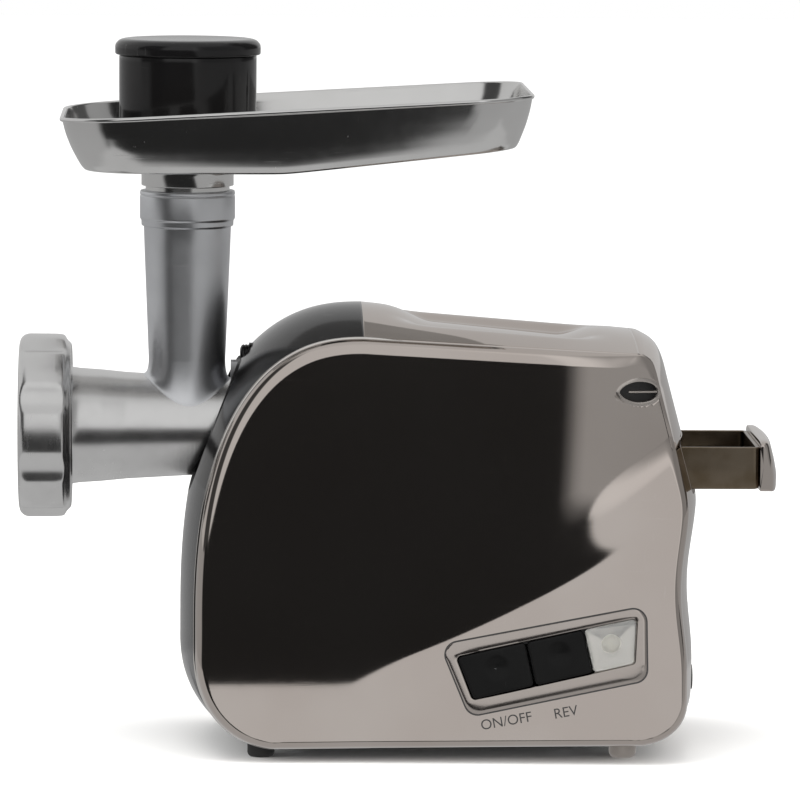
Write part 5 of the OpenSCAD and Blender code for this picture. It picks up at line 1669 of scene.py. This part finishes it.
@dataclass
class Feet:
    """Four turned feet: black rubber in front, and behind the same feet in a lighter satin metal copy that paints
    light on them.
    """

    radius: float = 7.5
    high_z: float = 9.5
    y: float = 54.0
    front_x: float = -77.0
    rear_x: float = 122.0

    def build(self) -> None:
        """Makes the two pairs."""
        r, h = self.radius, self.high_z
        profile = softened([(0.6, 0.01), (0.6, r - 4.2), (0.0, r - 3.6), (0.0, r - 1.4), (1.0, r - 0.4), (2.4, r),
                            (h - 2.6, r), (h - 2.2, r - 0.5), (h - 1.8, r), (h, r), (h, 0.01)], 0.7, 4)
        # The rear pair's lighter finish is painted light on black feet like the front pair.
        for name, x, slot, node in (("front_pads", self.front_x, "rubber", "front_feet"),
                                    ("rear_pads", self.rear_x, "foot_metal", "rear_feet")):
            patches = [Patch(revolve(profile, 72, "z", (x, side.value * self.y))) for side in Side]
            feet = skin(name, *patches, sharp=40)
            dress(feet, "root", MATERIALS[slot], slot, node)


@dataclass
class LockButton:
    """The head's lock: a knob with three grooves, a stem, a foot and the locking pin."""

    z: float = 215.8
    pin_z: float = 206.5

    def build(self) -> None:
        """Makes the button."""
        knob = [(-89, 0.01)]
        knob += [(-89, 3.6), (-88.2, 5.4), (-87.2, 6.0), (-86.6, 6.0), (-86.3, 5.5), (-86.0, 6.0), (-84.9, 6.0),
                 (-84.6, 5.5), (-84.3, 6.0), (-83.2, 6.0), (-82.9, 5.5), (-82.6, 6.0), (-81.2, 5.9), (-81, 3.0),
                 (-80, 3.0), (-80, 0.01)]
        stem = revolve(softened(knob, 0.35, 3), 96, "x", (0, self.z))
        pin = revolve(softened([(-85, 0.01), (-85, 1.7), (-84.2, 2.4), (-80, 2.4), (-80, 0.01)], 0.4, 3), 48, "x",
                      (0, self.pin_z))
        plan = rounded([(-3, self.pin_z - 2), (3, self.pin_z - 2), (3, self.z + 3), (-3, self.z + 3)], 1.2, 5)
        rings = [np.stack([np.full(len(plan), x), plan[:, 0] * k, (plan[:, 1] - 211) * k + 211], 1)
                 for x, k in ((-80, 0.95), (-79.8, 1.0), (-78.6, 1.0), (-78.4, 0.95))]
        button = skin("lock_knob", Patch(stem), Patch(pin), Patch(np.stack(rings), caps=(True, True)), sharp=40)
        dress(button, "lock", MATERIALS["black_gloss"], "black_gloss", "lock_button")


# ---------------------------------------------------------------- machinery that keeps its CAD shape


KEPT = {
    "dark_plastic": ("base_plate", "cord_inlet", "switch_housing", "drawer_bay", "motor_cradle", "overload_breaker",
                     "brush_holders"),
    "fan_plastic": ("fan",),
    "hub_cast": ("hub", "gearbox_front_plate", "gearbox_rear_plate", "motor_front_bracket", "motor_rear_bracket"),
    "auger_cast": ("auger",),
    "cutter_steel": ("knife", "grinding_plate", "spare_plates"),
    "steel": ("on_off_spring", "reverse_spring", "lock_spring", "stator", "armature", "motor_shaft", "ball_bearings",
              "through_bolts", "gearbox_pillars", "idler_pins", "second_idler", "output_gear", "output_shaft",
              "base_screws"),
    "gear_nylon": ("first_idler",),
    "copper": ("field_coils",),
}


def dress_machinery() -> None:
    """Gives every CAD node that keeps its own shape its finish."""
    for slot, nodes in KEPT.items():
        for node in nodes:
            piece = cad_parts[node]
            piece.data.materials.clear()
            piece.data.materials.append(MATERIALS[slot])
            LOG.info("%s keeps its shape, in %s", node, MATERIALS[slot].name)


# ---------------------------------------------------------------- studio


@dataclass
class Studio:
    """Camera, floor, lights and the surroundings that the plated surfaces mirror."""

    lens: float = 270.0
    distance: float = 3.333
    aim_z: float = 0.191
    elevation: float = 6.2
    azimuth: float = 2.0
    roll: float = 0.4
    floor_half: float = 9.0
    near_level: float = 0.5
    overhead_level: float = 0.62
    diffuse_level: float = 1.3
    low_band: tuple = ((-150, 0.6), (-88, 0.6), (-82, 0.06), (-62, 0.013), (7.0, 0.013), (8.0, 0.85), (12, 0.85),
                       (18, 0.40), (30, 0.28), (100, 0.32), (104, 0.08), (140, 0.08), (150, 0.6))
    high_band: tuple = ((-150, 0.6), (-88, 0.6), (-82, 0.06), (-45, 0.06), (-38, 0.70), (7, 0.70), (9, 0.86),
                        (13, 0.86), (18, 0.45), (28, 0.28), (100, 0.32), (104, 0.08), (140, 0.08), (150, 0.6))
    window_top: tuple = (-1.0, 0.3)

    def camera(self) -> None:
        """A long lens that looks at the middle of the model from slightly above and slightly ahead."""
        data = bpy.data.cameras.new("camera")
        data.lens = self.lens
        data.sensor_width = 36.0
        data.clip_end = 50.0
        camera = bpy.data.objects.new("camera", data)
        bpy.context.scene.collection.objects.link(camera)
        el, az = math.radians(self.elevation), math.radians(self.azimuth)
        back = Vector((-math.sin(az) * math.cos(el), -math.cos(az) * math.cos(el), math.sin(el)))
        aim = Vector((DATUM_X * MM, 0, self.aim_z))
        turn = back.to_track_quat("Z", "Y").to_matrix().to_4x4() @ Matrix.Rotation(math.radians(self.roll), 4, "Z")
        camera.matrix_world = Matrix.Translation(aim + back * self.distance) @ turn
        bpy.context.scene.camera = camera

    def floor(self) -> None:
        """A wide floor just under the feet. Plated surfaces see it pale near the model and dim further off."""
        mesh = bpy.data.meshes.new("floor")
        w = self.floor_half
        mesh.from_pydata([(-w, -w, 0), (w, -w, 0), (w, w, 0), (-w, w, 0)], [], [(0, 1, 2, 3)])
        floor = bpy.data.objects.new("floor", mesh)
        floor.location.z = CAD_LOW[2]
        bpy.context.scene.collection.objects.link(floor)
        material = bpy.data.materials.new("pale floor")
        material.use_nodes = True
        tree = material.node_tree
        shader = tree.nodes["Principled BSDF"]
        shader.inputs["Base Color"].default_value = (0.9, 0.9, 0.895, 1)
        shader.inputs["Roughness"].default_value = 0.9
        shader.inputs["Specular IOR Level"].default_value = 0.0
        split = tree.nodes.new("ShaderNodeSeparateXYZ")
        tree.links.new(tree.nodes.new("ShaderNodeTexCoord").outputs["Object"], split.inputs[0])
        x, y, _ = split.outputs
        near = math_node(tree, "MULTIPLY", span(tree, math_node(tree, "ABSOLUTE", x), 0.5, 0.42),
                         span(tree, math_node(tree, "ABSOLUTE", y), 0.31, 0.25))
        front = self.azimuth_ramp(tree, x, y, ((-70, 0.4), (-62, 0.02), (9, 0.02), (12, 0.4)))
        seen = mix(tree, near, front, (*[self.near_level] * 3, 1))
        glow = tree.nodes.new("ShaderNodeEmission")
        tree.links.new(seen, glow.inputs["Color"])
        pick = tree.nodes.new("ShaderNodeMixShader")
        tree.links.new(tree.nodes.new("ShaderNodeLightPath").outputs["Is Glossy Ray"], pick.inputs[0])
        tree.links.new(shader.outputs[0], pick.inputs[1])
        tree.links.new(glow.outputs[0], pick.inputs[2])
        tree.links.new(pick.outputs[0], tree.nodes["Material Output"].inputs["Surface"])
        mesh.materials.append(material)
        floor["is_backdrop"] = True

    @staticmethod
    def azimuth_ramp(tree: bpy.types.NodeTree, x: object, y: object, stops: tuple) -> object:
        """Grey level by azimuth, the arctangent of x over -y in degrees, straight between the stops.

        Args:
            tree: the node tree.
            x: socket of x.
            y: socket of y.
            stops: (azimuth, level) in order.

        Returns:
            The colour socket.
        """
        turn = math_node(tree, "ARCTAN2", x, math_node(tree, "MULTIPLY", y, -1.0))
        share = math_node(tree, "ADD", math_node(tree, "MULTIPLY", turn, 0.5 / math.pi), 0.5)
        ramp = tree.nodes.new("ShaderNodeValToRGB")
        tree.links.new(share, ramp.inputs[0])
        elements = ramp.color_ramp.elements
        elements.remove(elements[1])
        for index, (azimuth, level) in enumerate(stops):
            place = azimuth / 360 + 0.5
            element = elements[0] if index == 0 else elements.new(place)
            element.position = place
            element.color = (level, level, level, 1)
        return ramp.outputs["Color"]

    def lamp(self, name: str, place: tuple, aim: tuple, size: tuple, power: float, colour: tuple) -> None:
        """One rectangular soft light.

        Args:
            name: its name.
            place: where it stands, in metres.
            aim: the point that it faces.
            size: its width and height.
            power: watts.
            colour: its colour.
        """
        data = bpy.data.lights.new(name, "AREA")
        data.shape = "RECTANGLE"
        data.size, data.size_y = size
        data.energy = power
        data.color = colour
        light = bpy.data.objects.new(name, data)
        light.location = place
        light.visible_glossy = False
        light.rotation_euler = (Vector(place) - Vector(aim)).to_track_quat("Z", "Y").to_euler()
        bpy.context.scene.collection.objects.link(light)

    def surroundings(self) -> None:
        """The surroundings by direction, as plated surfaces see them.

        A dark window lies low in front, with a crisp right edge and a bright strip beyond it. Above it the room is
        bright, with a dim column to the left and dimmer walls to the right. The lens sees white, and diffuse
        light comes evenly from all round.
        """
        world = bpy.data.worlds.new("room")
        bpy.context.scene.world = world
        world.use_nodes = True
        tree = world.node_tree
        tree.nodes.clear()
        out = tree.nodes.new("ShaderNodeOutputWorld")
        ray = tree.nodes.new("ShaderNodeTexCoord").outputs["Generated"]
        split = tree.nodes.new("ShaderNodeSeparateXYZ")
        tree.links.new(ray, split.inputs[0])
        x, y, z = split.outputs
        elevation = math_node(tree, "MULTIPLY", math_node(tree, "ARCSINE", z), 180 / math.pi)
        low = self.azimuth_ramp(tree, x, y, self.low_band)
        high = self.azimuth_ramp(tree, x, y, self.high_band)
        seen = mix(tree, span(tree, elevation, *self.window_top), low, high)
        seen = mix(tree, span(tree, elevation, 45.0, 65.0), seen, (*[self.overhead_level] * 3, 1))
        path = tree.nodes.new("ShaderNodeLightPath")
        seen = mix(tree, path.outputs["Is Diffuse Ray"], seen, (*[self.diffuse_level] * 3, 1))
        seen = mix(tree, path.outputs["Is Camera Ray"], seen, (1.0, 1.0, 1.0, 1))
        glow = tree.nodes.new("ShaderNodeBackground")
        tree.links.new(seen, glow.inputs["Color"])
        tree.links.new(glow.outputs[0], out.inputs["Surface"])

    def build(self) -> None:
        """Sets up the whole studio."""
        self.camera()
        self.floor()
        self.surroundings()
        self.lamp("overhead", (-0.3, -0.5, 2.2), (0, 0, 0.2), (1.8, 1.4), 26.0, (1.0, 0.985, 0.96))
        self.lamp("left_bank", (-2.2, -1.1, 1.1), (0, 0, 0.2), (0.7, 1.4), 22.0, (1.0, 0.99, 0.97))
        self.lamp("right_bank", (2.3, -0.9, 1.0), (0, 0, 0.2), (0.6, 1.3), 14.0, (1.0, 0.96, 0.92))
        view = bpy.context.scene.view_settings
        view.view_transform = "Standard"
        view.look = "None"


# ---------------------------------------------------------------- build


def main() -> None:
    """Builds the studio, the finishes and every sub-assembly in order."""
    logging.basicConfig(level=logging.INFO, format="%(name)s: %(message)s")
    Studio().build()
    build_groups()
    MATERIALS.update({slot: finish.make() for slot, finish in FINISHES.items()})
    shape = BodyShape()
    panels = SidePanels(shape)
    controls = Controls(panels)
    vents = Vents(panels)
    opening = rounded(list(controls.window), 2.6, 8)
    opening = opening + outward(opening) * 3.0
    for side in Side:
        holes = [vents.almond(0.5)] + ([opening] if side is Side.LEFT else [])
        panels.build(side, holes)
        vents.build(side)
    Covers(shape).build()
    GrinderHead().build()
    RingNut().build()
    Tray().build()
    Pusher().build()
    drawer = Drawer()
    drawer.box()
    drawer.front()
    controls.build()
    Feet().build()
    LockButton().build()
    dress_machinery()
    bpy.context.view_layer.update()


if __name__ == "__main__":
    main()
